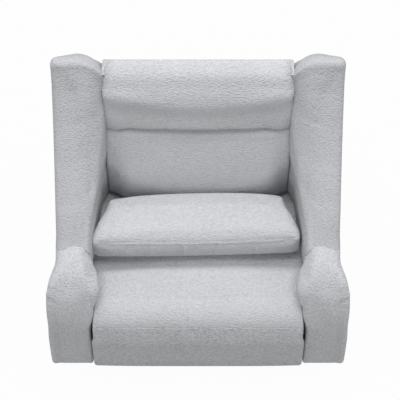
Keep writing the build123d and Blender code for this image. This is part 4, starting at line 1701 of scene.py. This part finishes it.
@dataclass
class Studio:
    """Floor, light and camera."""

    camera_at: Place = (0.0, -2.659, 6.017)
    camera_turn: float = 25.76
    lens: float = 189.0
    sensor: float = 36.0
    shift: tuple[float, float] = (0.005, 0.0125)
    sky: float = 0.53
    floor: float = 0.50
    floor_glow: float = 0.97
    floor_half: float = 9.0
    softboxes: tuple[Softbox, ...] = (
        Softbox("softbox_above", (0.0, 0.3, 6.6), (0.0, 0.0, 0.5), 3.4, 255.0),
        Softbox("softbox_right", (4.2, 0.3, 3.2), (0.0, 0.0, 0.6), 2.6, 15.0),
        Softbox("softbox_left", (-4.2, 0.3, 3.2), (0.0, 0.0, 0.6), 2.6, 15.0),
    )

    def build(self) -> None:
        """Make everything round the chair."""
        self.make_camera()
        for softbox in self.softboxes:
            softbox.build()
        self.make_sky()
        self.make_floor()

    def make_camera(self) -> None:
        """Place the camera at the photograph's viewing angle."""
        data = bpy.data.cameras.new("camera")
        data.lens = self.lens
        data.sensor_width = self.sensor
        data.shift_x, data.shift_y = self.shift
        data.clip_end = 100
        camera = linked("camera", data)
        camera.location = self.camera_at
        camera.rotation_euler = (math.radians(self.camera_turn), 0, 0)
        bpy.context.scene.camera = camera

    def make_sky(self) -> None:
        """Even sky that looks white."""
        world = bpy.data.worlds.new("sky")
        world.use_nodes = True
        kit = NodeKit(world.node_tree)
        dim, bright = (
            kit.out("ShaderNodeBackground", {}, {"Color": WHITE, "Strength": strength})
            for strength in (self.sky, 1.0)
        )
        mixed = kit.out("ShaderNodeMixShader", {}, {0: self.seen(kit), 1: dim, 2: bright})
        kit.node("ShaderNodeOutputWorld", {}, {"Surface": mixed})
        bpy.context.scene.world = world

    @staticmethod
    def seen(kit: NodeKit) -> Value:
        """1 for camera, mirror and glass rays, else 0.

        Args:
            kit: Tree that the nodes go in.

        Returns:
            The number.
        """
        path = kit.node("ShaderNodeLightPath")
        names = ("Is Camera Ray", "Is Glossy Ray", "Is Transmission Ray")
        camera, mirror, glass = (kit.value(path, name) for name in names)
        return camera.most(mirror).most(glass)

    def make_floor(self) -> None:
        """Plain pale floor that looks white and keeps a faint shadow."""
        kit = MaterialKit("pale_floor")
        kit.set(Base_Color=rgba((self.floor,) * 3), Roughness=0.9)
        glow = kit.out("ShaderNodeEmission", {}, {"Color": WHITE, "Strength": 1.0})
        share = self.seen(kit) * self.floor_glow
        both = kit.out("ShaderNodeMixShader", {}, {0: share, 1: kit.shader.outputs[0], 2: glow})
        kit.feed(kit.output.inputs["Surface"], both)
        half = self.floor_half
        corners = [(-half, -half, 0), (half, -half, 0), (half, half, 0), (-half, half, 0)]
        mesh = bpy.data.meshes.new("floor")
        mesh.from_pydata(corners, [], [(0, 1, 2, 3)])
        mesh.materials.append(kit.material)
        linked("floor", mesh)


def main() -> None:
    """Build the chair's pieces, the floor, the light and the camera."""
    logging.basicConfig(level=logging.INFO, format="%(name)s %(message)s")
    bpy.context.scene.view_settings.view_transform = "Standard"
    finishes = Finishes()
    finishes.dress_nodes()
    for part in (Seat, Footrest, Arms, Wings, Back, Pillow, Underside):
        part(finishes).build()
    Studio().build()


if __name__ == "__main__":
    main()
